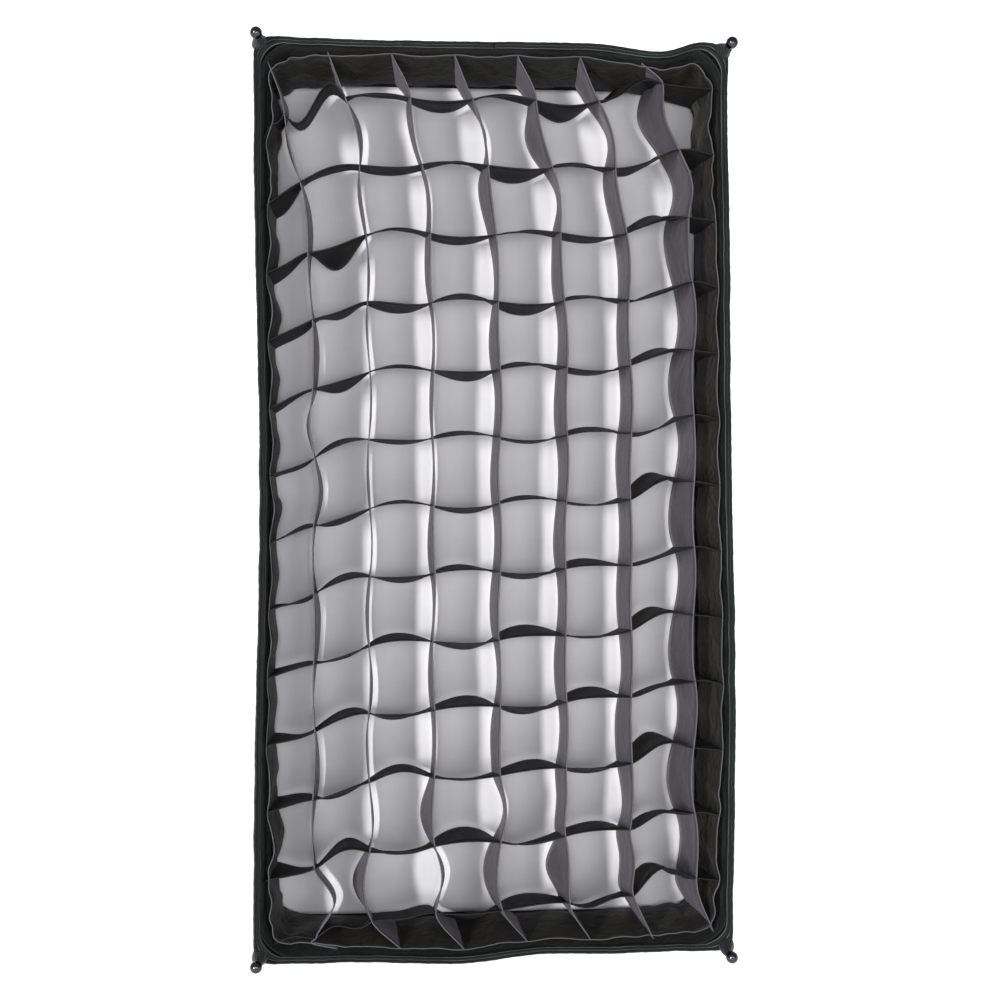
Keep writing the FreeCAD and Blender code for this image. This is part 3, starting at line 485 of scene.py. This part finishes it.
def diffuserPlace(u, v):
    high = diffuserHigh.z - 0.0004
    wide = diffuserHigh.x - 0.0004
    z = (2 * v - 1) * high
    over = max(0.0, abs(z) - (high - diffuser["radius"]))
    wide -= diffuser["radius"] - math.sqrt(max(0.0, diffuser["radius"] ** 2 - over ** 2))
    x = (2 * u - 1) * wide
    y = (diffuserLow.y + diffuserHigh.y) / 2
    held = math.sin(math.pi * u) * math.sin(math.pi * v)
    y -= diffuser["sag"] * held ** 0.5
    y += diffuser["slack"] * roughly((x, 0, z), 0.09, 2.0) * min(1.0, 3 * held)
    y += 0.0007 * roughly((x * 2.5, 0, z), 0.05, 9.0) * min(1.0, 4 * held)
    return Vector((x, y, z))


flatDiffuser = (2 * diffuserHigh.x, 2 * diffuserHigh.z)
front = finishPiece("front_diffuser", clothGrid(flatDiffuser, (96, 180), diffuserPlace), "diffuser",
                    (diffusionCloth,), ("diffuser_cloth",), diffuser["thick"])
print("lip and diffuser done")


# eggcrate grid

grid = {
    "turnCross": 0.19, "turnCrossRear": 0.60,      # how far each crossing twists, in radians
    "turnUpright": 0.07, "turnUprightRear": 0.17,
    "edgeRows": 2.6,                               # uprights twist this much more in the end rows
    "columnRise": (-0.033, -0.020, -0.005, -0.003, -0.002, -0.001, 0.001, 0.014, 0.011),
    "columnShift": (0.0, 0.006, 0.000, 0.001, 0.003, 0.006, 0.008, 0.009, 0.0),
    "rowLean": (-0.030, -0.016, -0.006, -0.001, 0.001, 0.002, 0.002, 0.002, 0.002, 0.002, 0.002, 0.002,
                0.002, 0.004, 0.026),
    "rearOut": 0.040,                              # the rear edges stand out towards top and bottom
    "rearAway": -0.004,                            # the last upright's rear edge is pulled in
    "thick": 0.0009, "cells": 14, "rows": 7, "slackCross": 1.08, "slackUpright": 1.04,
    # extra bulge of one strip's rear edge and front edge between two crossings: (row, column): (rear, front)
    "crossBulge": {(1, 1): (0.004, 0.003), (2, 1): (-0.003, 0.001), (3, 1): (-0.014, -0.001),
                   (4, 1): (-0.013, -0.003), (5, 1): (-0.006, 0.0), (4, 6): (0.003, 0.001),
                   (7, 6): (0.009, 0.006), (8, 6): (0.003, 0.002), (9, 6): (0.006, 0.005),
                   (10, 6): (0.007, 0.005), (11, 6): (0.010, 0.007), (12, 1): (0.008, 0.005),
                   (12, 6): (0.012, 0.009), (13, 6): (0.011, 0.012), (13, 2): (-0.008, -0.004),
                   (11, 2): (0.003, 0.004), (13, 1): (0.006, 0.004), (2, 6): (-0.004, 0.0),
                   (1, 5): (-0.007, 0.0), (1, 2): (-0.004, -0.001), (3, 0): (-0.004, -0.002),
                   (2, 0): (-0.005, 0.0), (13, 0): (-0.003, 0.004)},
    "crossCurl": {(1, 1): 0.012, (1, 0): -0.003, (1, 6): 0.003, (13, 6): -0.002, (13, 5): 0.003,
                  (13, 1): -0.004},
    "uprightBulge": {(12, 1): (0.012, 0.014), (12, 2): (-0.006, -0.001), (12, 5): (-0.011, 0.000),
                     (12, 6): (0.008, 0.006), (1, 7): (-0.006, -0.004), (2, 7): (0.003, 0.004),
                     (1, 5): (-0.004, 0.000), (1, 6): (0.004, 0.001), (2, 5): (0.003, 0.001),
                     (5, 1): (-0.005, -0.002), (6, 1): (0.003, 0.003), (12, 3): (0.004, 0.004),
                     (11, 3): (-0.003, 0.0), (11, 4): (0.004, 0.003), (11, 5): (0.004, 0.002),
                     (13, 1): (-0.006, -0.008)}}
upBoxes = [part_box("grid_upright_%d" % n) for n in range(1, 8)]
crossBoxes = [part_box("grid_cross_%02d" % n) for n in range(1, 14)]
columns = [(low.x + high.x) / 2 for low, high in upBoxes]
rows = [(low.z + high.z) / 2 for low, high in crossBoxes]
frontY, rearY = upBoxes[0][0].y + 0.0003, upBoxes[0][1].y - 0.0003
endX, endZ = crossBoxes[0][1].x, upBoxes[0][1].z
columnAt = [-endX] + columns + [endX]
rowAt = [endZ] + rows + [-endZ]
wander = {(r, c, e): (dice.uniform(-1, 1), dice.uniform(-1, 1), dice.uniform(0.45, 1.4))
          for r in range(15) for c in range(9) for e in (0, 1)}


def crossing(r, c, rear):
    # where strips r and c cross, at the front (0) or rear (1) edge: x and z
    flareX = 0.003 * rear
    flareZ = 0.006 * rear
    x, z = columnAt[c], rowAt[r]
    jig = wander[(r, c, rear)]
    if c in (0, 8):
        x -= math.copysign(flareX, x)
        z += grid["columnRise"][c]
        return pulled(x, rearY if rear else frontY, z).xz
    if r in (0, 14):
        x += grid["rowLean"][r] * (0.85 if rear else 1.0)
        z -= math.copysign(flareZ, z)
        return pulled(x, rearY if rear else frontY, z).xz
    low = 0.5 - z / 0.61  # 0 at the top row and 1 at the bottom row
    rise = grid["columnRise"][c]
    if 1 < c < 7:
        rise = rise * 2 * low - 0.003 * low * (c < 5)
    elif c == 1:
        rise *= 0.72 + 0.55 * low
    x += grid["columnShift"][c] * ease(r / 4) + grid["rowLean"][r] + 0.0009 * jig[0]
    z += rise + 0.0009 * jig[1]
    if rear:
        z *= 1 + grid["rearOut"]
        if c == 7:
            x += grid["rearAway"]
    return Vector((x, z))


def hermite(a, b, slopeA, slopeB, length, t):
    t2, t3 = t * t, t * t * t
    return ((2 * t3 - 3 * t2 + 1) * a + (t3 - 2 * t2 + t) * length * slopeA
            + (3 * t2 - 2 * t3) * b + (t3 - t2) * length * slopeB)


def stripEdge(kind, number, rear, distance):
    # distance runs 0 to the number of cells along the strip; the answer is x and z
    last = 8 if kind == "cross" else 14
    cell = min(last - 1, int(distance))
    t = distance - cell

    def knot(n):
        n = max(0, min(last, n))
        return crossing(number, n, rear) if kind == "cross" else crossing(n, number, rear)

    def turn(n):
        if n in (0, last):
            return 0.0
        r, c = (number, n) if kind == "cross" else (n, number)
        sign = 1 if (r + c) % 2 else -1
        size = wander[(r, c, rear)][2] * sign
        if kind == "cross":
            return size * grid["turnCrossRear" if rear else "turnCross"]
        edge = grid["edgeRows"] if r < 3 or r > 11 else 1.0
        edge = max(edge, 1.9 if c == 7 else 1.0)
        return size * edge * grid["turnUprightRear" if rear else "turnUpright"]

    a, b = knot(cell), knot(cell + 1)
    before, after = knot(cell - 1), knot(cell + 2)
    if kind == "cross":
        length = b.x - a.x
        slopeA = (b.y - before.y) / (b.x - before.x) + turn(cell)
        slopeB = (after.y - a.y) / (after.x - a.x) + turn(cell + 1)
        z = hermite(a.y, b.y, slopeA, slopeB, length, t)
        extra = grid["crossBulge"].get((number, cell), (0, 0))[0 if rear else 1]
        z += extra * math.sin(math.pi * t) ** 1.5
        z += grid["crossCurl"].get((number, cell), 0) * math.sin(2 * math.pi * (t - 0.5))
        return Vector((a.x + length * t, z))
    length = a.y - b.y
    slopeA = (b.x - before.x) / (before.y - b.y) + turn(cell)
    slopeB = (after.x - a.x) / (a.y - after.y) + turn(cell + 1)
    x = hermite(a.x, b.x, slopeA, slopeB, length, t)
    extra = grid["uprightBulge"].get((cell, number), (0, 0))[0 if rear else 1]
    x += extra * math.sin(math.pi * t) ** 1.5
    return Vector((x, a.y - length * t))


def makeStrip(kind, number, name, node):
    cells = 8 if kind == "cross" else 14
    # the cut length is a little more than the gap it spans, which is why the strips wave
    span = 2 * (endX * grid["slackCross"] if kind == "cross" else endZ * grid["slackUpright"])
    depth = rearY - frontY

    def place(u, v):
        first = stripEdge(kind, number, 0, u * cells)
        last = stripEdge(kind, number, 1, u * cells)
        mixed = first.lerp(last, v + 0.10 * math.sin(2 * math.pi * v) * math.sin(3 * u * cells))
        y = frontY + depth * v
        wrinkle = 0.0006 * roughly((mixed.x, y, mixed.y), 0.012, 5.0 + number) * math.sin(math.pi * v)
        shift = Vector((0, wrinkle)) if kind == "cross" else Vector((wrinkle, 0))
        mixed = mixed + shift
        return Vector((mixed.x, y, mixed.y))

    bm = clothGrid((span, depth), (cells * grid["cells"], grid["rows"]), place)
    # crossing strips take the painted-shade copies of the cloth and its edge, uprights the painted-light
    # copies
    looks = (crossTaffetaPaintedShade, crossEdgePaintedShade) if kind == "cross" else (uprightTaffetaPaintedLight, cutEdgePaintedLight)
    piece = finishPiece(name, bm, "grid", looks, (node,), grid["thick"])
    return piece


for n in range(1, 8):
    makeStrip("upright", n, "upright_strip_%d" % n, "grid_upright_%d" % n)
for n in range(1, 14):
    makeStrip("cross", n, "cross_strip_%02d" % n, "grid_cross_%02d" % n)

gridBand = {"inset": 0.0030, "scallop": 0.0042, "leftScallop": 0.0085, "crumple": 0.0060, "thick": 0.0008,
            "stepUp": 0.0508, "stepAcross": 0.0485}


def bandPlace(u, v):
    y = frontY + (rearY - frontY) * v
    wide, high = lipHalf(y, gridBand["inset"])
    x, z, out = loopPoint(u, wide, high, lip["radius"] - gridBand["inset"])
    # it bellies inwards between the strips' ends
    if abs(x) / wide > abs(z) / high:
        step, along = gridBand["stepUp"], z - grid["columnRise"][0 if x < 0 else 8] - rowAt[7]
    else:
        step, along = gridBand["stepAcross"], x - grid["rowLean"][0 if z > 0 else 14] - columnAt[4]
    belly = math.sin(math.pi * along / step) ** 2
    seed = math.floor(along / step) + (10 if x > 0 else 0)
    side = "leftScallop" if x < -0.16 else "scallop"
    size = gridBand[side] * (0.45 + 0.75 * abs(roughly((seed, x > 0, z > 0), 0.37, 1.0)))
    inward = size * belly * (0.55 + 0.45 * math.sin(math.pi * v))
    corner = ease((abs(x) / wide + abs(z) / high - 1.5) / 0.3)
    inward += gridBand["crumple"] * corner * (0.5 + 0.5 * roughly((x, y * 0.6, z), 0.013, 4.0))
    inward += 0.0012 * (0.5 + 0.5 * roughly((x, y * 0.3, z), 0.010, 8.0))
    return pulled(x - out[0] * inward, y, z - out[1] * inward)


bandWide, bandHigh = lipHalf(frontY, gridBand["inset"])
bandLength = loopLength(bandWide, bandHigh, lip["radius"])
bm = clothGrid((bandLength, rearY - frontY), (720, 10), bandPlace, closed=True)
faceAway(bm, Vector((0, frontY, 0)))
piece = finishPiece("grid_band", bm, "grid", (bandTaffeta, cutEdgePaintedLight), ("grid_border",),
                    gridBand["thick"])
print("grid done")


# bound front edge

hem = {"wide": 0.1825, "high": 0.350, "radius": 0.012,
       "rolls": ((0.0002, -0.3880), (0.0006, -0.3925), (0.0002, -0.3965), (-0.0004, -0.3990),
                 (-0.0014, -0.4000), (-0.0023, -0.3992), (-0.0027, -0.3978), (-0.0031, -0.3990),
                 (-0.0040, -0.3996), (-0.0048, -0.3988), (-0.0052, -0.3965), (-0.0052, -0.3925),
                 (-0.0050, -0.3885))}


def hemPlace(u, v):
    at = min(len(hem["rolls"]) - 1.0001, v * (len(hem["rolls"]) - 1))
    first = hem["rolls"][int(at)]
    second = hem["rolls"][int(at) + 1]
    out = first[0] + (second[0] - first[0]) * (at % 1)
    y = first[1] + (second[1] - first[1]) * (at % 1)
    radius = max(0.003, hem["radius"] + out + 0.012 * max(0.0, min(1.0, -out / 0.005)))
    x, z, way = loopPoint(u, hem["wide"] + out, hem["high"] + out, radius)
    pinch = 0.0001 * math.sin(u * 1500) + 0.0005 * roughly((x, y, z), 0.02, 6.0)
    return pulled(x + way[0] * pinch, y, z + way[1] * pinch)


hemLength = loopLength(hem["wide"], hem["high"], hem["radius"])
bm = clothGrid((hemLength, 0.026), (620, 36), hemPlace, closed=True)
# the binding faces forwards, so its outside looks away from a ring behind it
faceAway(bm, Vector((0, -0.1, 0)))
piece = finishPiece("rim_binding", bm, "box", (bindingTape,), ("rim_hem",), 0.0009, -1)


# gores of the shell

shell = {"backWide": 0.0845, "backHigh": 0.0900, "frontWide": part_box("shell_panel_right")[1].x - 0.0002,
         "frontHigh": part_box("shell_panel_top")[1].z - 0.0002, "back": -0.0305, "front": -0.3895,
         "round": 0.392, "middle": -0.418, "thick": 0.0010, "hollow": 0.0065, "wrinkle": 0.0022,
         "folds": 26, "foldSize": 0.06, "creaseSize": 0.035, "tautFrom": 0.53, "tautBy": 0.93}


def bowed(y):
    # how far the sides have opened out at a depth, 0 at the back and 1 at the front
    def reach(at):
        return math.sqrt(shell["round"] ** 2 - min(shell["round"] ** 2, (at - shell["middle"]) ** 2))
    return (reach(y) - reach(shell["back"])) / (reach(shell["front"]) - reach(shell["back"]))


def makeGore(name, node, axis, sign):
    # axis 0 is a tall side panel and axis 1 a top or bottom panel
    def place(u, v):
        y = shell["back"] + (shell["front"] - shell["back"]) * v
        share = bowed(y)
        wide = shell["backWide"] + (shell["frontWide"] - shell["backWide"]) * share
        high = shell["backHigh"] + (shell["frontHigh"] - shell["backHigh"]) * share
        run, out = (high, wide) if axis == 0 else (wide, high)
        across = (2 * u - 1) * run
        slack = math.sin(math.pi * u) * math.sin(math.pi * v) ** 0.6 
        slack *= ease((shell["tautBy"] - v) / (shell["tautBy"] - shell["tautFrom"]))
        out -= shell["hollow"] * slack * (1.0 if axis == 0 else 0.8)
        # tension folds run from the rods towards the middle of each gore
        fan = math.sin(shell["folds"] * u + 3 * v)
        fan *= roughly((across * 0.5, y, out), shell["foldSize"], 12.0 + axis + sign)
        crease = 0.6 * roughly((across, y, sign), shell["creaseSize"], 1.5)
        out += shell["wrinkle"] * (fan + crease) * min(1.0, 4 * slack)
        if axis == 0:
            return pulled(sign * out, y, across)
        return pulled(across, y, sign * out)

    longest = 2 * (shell["frontHigh"] if axis == 0 else shell["frontWide"])
    slant = 0.445 if axis == 1 else 0.385
    bm = clothGrid((longest, slant), (110 if axis == 0 else 70, 90), place)
    faceAway(bm, Vector((0, -0.2, 0)))
    piece = finishPiece(name, bm, "box", (coatedNylon, silverLining, coatedNylon), (node,),
                        shell["thick"], -1, 1)


makeGore("gore_right", "shell_panel_right", 0, 1)
makeGore("gore_left", "shell_panel_left", 0, -1)
makeGore("gore_top", "shell_panel_top", 1, 1)
makeGore("gore_bottom", "shell_panel_bottom", 1, -1)


welt = {"radius": 0.0016, "steps": 60}


def seamWelt(name, sideX, sideZ):
    # corded seam where two gores meet, over a rod
    bm = bmesh.new()
    ring, edges = startRing(bm, 8, welt["radius"])
    rings = [ring]
    for _ in range(welt["steps"]):
        ring, edges = growRing(bm, edges)
        rings.append(ring)
    for index, ring in enumerate(rings):
        y = shell["back"] - 0.001 + (shell["front"] + 0.002 - shell["back"]) * index / welt["steps"]
        share = bowed(max(shell["front"], y))
        wide = shell["backWide"] + (shell["frontWide"] - shell["backWide"]) * share
        high = shell["backHigh"] + (shell["frontHigh"] - shell["backHigh"]) * share
        centre = pulled(sideX * (wide + 0.0003), y, sideZ * (high + 0.0003))
        for vert in ring:
            vert.co = centre + Vector((vert.co.x, 0, vert.co.y))
    layFlat(bm, lambda co: (co.y, co.x + co.z))
    bmesh.ops.holes_fill(bm, edges=[edge for edge in bm.edges if len(edge.link_faces) < 2], sides=0)
    bmesh.ops.recalc_face_normals(bm, faces=bm.faces)
    finishPiece(name, bm, "box", (bindingTape,), ())


for corner in corners:
    seamWelt("seam_welt_" + corner, -1 if "left" in corner else 1, 1 if "top" in corner else -1)
print("shell done")


# cloth end and collar at the back

rear = {"hole": 0.0790, "wide": 0.0843, "high": 0.0898, "y": -0.0304, "rings": 7, "segments": 96}
bm = bmesh.new()
ring, edges = startRing(bm, rear["segments"], rear["hole"])
for step in range(1, rear["rings"] + 1):
    ring, edges = growRing(bm, edges)
    share = step / rear["rings"]
    for vert in ring:
        way = Vector((vert.co.x, vert.co.y)).normalized()
        edge = way * min(rear["wide"] / max(1e-6, abs(way.x)), rear["high"] / max(1e-6, abs(way.y)))
        spot = (way * rear["hole"]).lerp(edge, share)
        vert.co = Vector((spot.x, spot.y, 0))
for vert in bm.verts:
    ripple = 0.0004 * roughly((vert.co.x, 0, vert.co.y), 0.012, 2.0)
    vert.co = Vector((vert.co.x, rear["y"] + ripple, vert.co.y))
layFlat(bm, lambda co: (co.x + 0.2, co.z + 0.2))
faceAway(bm, Vector((0, -0.3, 0)))
piece = finishPiece("rear_cloth_end", bm, "box", (coatedNylon, silverLining, coatedNylon), ("rear_panel",),
                    0.0009, -1, 1)

collar = {"inner": 0.0786, "from": -0.0235, "to": -0.0300, "gathers": 60}


def collarPlace(u, v):
    angle = 2 * math.pi * u
    gather = 0.00035 * math.sin(collar["gathers"] * angle) * math.sin(math.pi * v)
    roll = 0.0006 * math.sin(math.pi * v)
    radius = collar["inner"] + 0.0001 + roll + gather
    y = collar["from"] + (collar["to"] - collar["from"]) * v
    return Vector((radius * math.cos(angle), y, radius * math.sin(angle)))


collarLength = 2 * math.pi * collar["inner"]
bm = clothGrid((collarLength, collar["from"] - collar["to"]), (480, 10), collarPlace, closed=True)
faceAway(bm, Vector((0, -0.027, 0)))
finishPiece("elastic_collar", bm, "box", (elasticBand,), ("rear_collar",), 0.0006)

# sleeves that hold the rods' tips at the corners

sleeve = {"rings": ((0.0066, -0.3965), (0.0056, -0.3998), (0.0044, -0.4028), (0.0035, -0.4052),
                    (0.0029, -0.4072), (0.0031, -0.4082), (0.0022, -0.4086)), "segments": 20}
for corner in corners:
    tipLow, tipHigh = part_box("ball_tip_" + corner)
    tipX, tipZ = (tipLow.x + tipHigh.x) / 2, (tipLow.z + tipHigh.z) / 2
    rimX = math.copysign(hem["wide"] - 0.0050, tipX)
    rimZ = math.copysign(hem["high"] - 0.0050, tipZ)
    bm = bmesh.new()
    ring, edges = startRing(bm, sleeve["segments"], 1.0)
    rings = [ring]
    for _ in sleeve["rings"][1:]:
        ring, edges = growRing(bm, edges)
        rings.append(ring)
    for index, ring in enumerate(rings):
        radius, y = sleeve["rings"][index]
        share = ease(index / (len(rings) - 2))
        midX, midZ = rimX + (tipX - rimX) * share, rimZ + (tipZ - rimZ) * share
        for vert in ring:
            way = Vector((vert.co.x, vert.co.y)).normalized()
            ridge = 1 + 0.06 * (1 - share) * math.sin(5 * math.atan2(way.y, way.x) + tipX * 90)
            vert.co = Vector((midX + way.x * radius * ridge, y, midZ + way.y * radius * ridge))
    for vert in bm.verts:
        vert.co = vert.co.lerp(pulled(*vert.co), 1 - ease((-0.3985 - vert.co.y) / 0.006))
    layFlat(bm, lambda co: (co.x, co.y))
    faceAway(bm, Vector((tipX, -0.404, tipZ)))
    finishPiece("corner_sleeve_" + corner, bm, "box", (nylonWebbing,), ("corner_tab_" + corner,),
                0.0007, -1, levels=1)


# inner baffle

baffle = {"wide": 0.108, "high": 0.216, "y": -0.1904, "sag": 0.006, "tape": 0.012, "thick": 0.0006}


def bafflePlace(u, v):
    x, z = (2 * u - 1) * baffle["wide"], (2 * v - 1) * baffle["high"]
    held = math.sin(math.pi * u) * math.sin(math.pi * v)
    y = baffle["y"] - baffle["sag"] * held * 0.5 + 0.0012 * roughly((x, 0, z), 0.07, 3.0) * min(1, 3 * held)
    pull = 0.004 * math.sin(math.pi * v) * (2 * u - 1)
    rise = 0.004 * math.sin(math.pi * u) * (2 * v - 1)
    return Vector((x - pull, y, z - rise))


flatBaffle = (2 * baffle["wide"], 2 * baffle["high"])
piece = finishPiece("inner_baffle", clothGrid(flatBaffle, (48, 90), bafflePlace), "baffle", (diffusionCloth,),
                    ("baffle_cloth",), baffle["thick"])


def baffleTapePlace(u, v):
    # a folded tape over the baffle's edge, v across it
    x, z, out = loopPoint(u, 1.0, 2.0, 0.02)
    across, up = (x + 1) / 2, (z / 2 + 1) / 2
    point = bafflePlace(across, up)
    return point - Vector((out[0], 0, out[1])) * baffle["tape"] * v - Vector((0, 0.0007, 0))


tapeLength = loopLength(baffle["wide"], baffle["high"], 0.002)
bm = clothGrid((tapeLength, baffle["tape"]), (260, 4), baffleTapePlace, closed=True)
piece = finishPiece("baffle_binding", bm, "baffle", (bindingTape,), ("baffle_edge_tape",),
                    0.0008)

strap = {"x": 0.084, "wide": 0.014, "from": 0.205, "to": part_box("baffle_straps")[1].z - 0.0005,
         "y": -0.1904}
patchLow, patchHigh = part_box("baffle_patches")
for index, corner in enumerate(corners):
    signX, signZ = -1 if "left" in corner else 1, 1 if "top" in corner else -1

    def strapPlace(u, v):
        reach = strap["from"] + (strap["to"] - strap["from"]) * v
        bend = 0.0012 * math.sin(math.pi * v) + 0.0002 * math.sin(40 * v)
        across = signX * strap["x"] + (u - 0.5) * strap["wide"]
        return Vector((across, strap["y"] - 0.0008 - bend, signZ * reach))

    bm = clothGrid((strap["wide"], strap["to"] - strap["from"]), (4, 24), strapPlace)
    piece = finishPiece("baffle_strap_" + corner, bm, "baffle", (elasticBand,),
                        ("baffle_straps",) if index == 0 else (), 0.001)

    def patchPlace(u, v):
        y = patchLow.y + 0.0004 + (patchHigh.y - patchLow.y - 0.0008) * v
        return Vector((signX * strap["x"] + (u - 0.5) * 0.024, y, signZ * (patchHigh.z - 0.0016)))

    bm = clothGrid((0.024, patchHigh.y - patchLow.y), (6, 6), patchPlace)
    finishPiece("loop_patch_" + corner, bm, "box", (loopPile,), ("baffle_patches",) if index == 0 else (),
                0.001)
print("baffle and back done")


# room, lights and camera

room = {"floor": -0.62, "left": -9.0, "right": 9.0, "near": -7.0, "turn": 2.6, "top": 6.0, "cove": 1.4}
paper = bpy.data.materials.new("paleStudioPaper")  # matt seamless paper
paper.use_nodes = True
tree = paper.node_tree
tree.nodes.clear()
solid = addNode(tree, "ShaderNodeTexCoord", {})
fibre = addNode(tree, "ShaderNodeTexNoise", {"Scale": 40.0, "Detail": 3.0},
                {"Vector": solid.outputs["Object"]})
shade = addNode(tree, "ShaderNodeMix", {"data_type": "RGBA", 6: colour("#f6f6f6"), 7: colour("#fbfbfb")},
                {0: fibre.outputs["Fac"]})
matt = addNode(tree, "ShaderNodeBsdfPrincipled", {"Roughness": 0.9, "Specular IOR Level": 0.1,
                                                  "Emission Color": colour("#ffffff"),
                                                  "Emission Strength": 0.55},
               {"Base Color": shade.outputs[2]})
addNode(tree, "ShaderNodeOutputMaterial", {}, {"Surface": matt.outputs[0]})


def sweepPlace(u, v):
    # floor, a quarter-round cove and a wall, v from the near edge up
    x = room["left"] + (room["right"] - room["left"]) * u
    floorRun, arc = room["turn"] - room["near"], math.pi / 2 * room["cove"]
    wall = room["top"] - room["floor"] - room["cove"]
    way = v * (floorRun + arc + wall)
    if way < floorRun:
        return Vector((x, room["near"] + way, room["floor"]))
    if way < floorRun + arc:
        angle = (way - floorRun) / room["cove"]
        return Vector((x, room["turn"] + room["cove"] * math.sin(angle),
                       room["floor"] + room["cove"] * (1 - math.cos(angle))))
    return Vector((x, room["turn"] + room["cove"], room["floor"] + room["cove"] + way - floorRun - arc))


bm = clothGrid((18, 18), (4, 80), sweepPlace)
mesh = bpy.data.meshes.new("studio_sweep")
bm.to_mesh(mesh)
bm.free()
mesh.materials.append(paper)
mesh.shade_smooth()
sweep = bpy.data.objects.new("studio_sweep", mesh)
bpy.context.scene.collection.objects.link(sweep)

world = bpy.data.worlds.new("softStudio")
world.use_nodes = True
world.node_tree.nodes["Background"].inputs[0].default_value = (0.93, 0.95, 1.0, 1.0)
world.node_tree.nodes["Background"].inputs[1].default_value = 0.32
bpy.context.scene.world = world
bpy.context.scene.view_settings.view_transform = "Standard"

lights = {  # azimuth seen from the rim, degrees; distance, width and height in metres; watts
    "leftStrip": (-35.8, 0.0, 5.2, 0.36, 1.6, 250.0),
    "rightSoft": (20.0, 0.0, 2.0, 0.60, 0.6, 8.0),
    "frontFill": (-6.0, 0.0, 1.05, 0.22, 0.22, 3.0)}
target = Vector((0, -0.39, 0))
for name, (turn, lift, distance, wide, high, watts) in lights.items():
    lamp = bpy.data.lights.new(name, "AREA")
    lamp.shape = "RECTANGLE"
    lamp.size, lamp.size_y, lamp.energy = wide, high, watts
    holder = bpy.data.objects.new(name, lamp)
    holder.visible_camera = False
    bpy.context.scene.collection.objects.link(holder)
    angle, up = math.radians(turn), math.radians(lift)
    back = Vector((math.sin(angle) * math.cos(up), -math.cos(angle) * math.cos(up), math.sin(up)))
    holder.location = target + back * distance
    holder.rotation_euler = (-back).to_track_quat("-Z", "Y").to_euler()

view = {"x": -0.098, "away": 0.900, "height": 0.0, "turn": 3.1, "lens": 42.8, "shiftX": 0.070, "shiftY": 0.0}
eye = bpy.data.cameras.new("camera")
eye.lens, eye.sensor_width = view["lens"], 36.0
eye.shift_x, eye.shift_y = view["shiftX"], view["shiftY"]
camera = bpy.data.objects.new("camera", eye)
bpy.context.scene.collection.objects.link(camera)
camera.location = (view["x"], -0.400 - view["away"], view["height"])
camera.rotation_euler = (math.radians(90), 0, -math.radians(view["turn"]))
bpy.context.scene.camera = camera
print("room done")
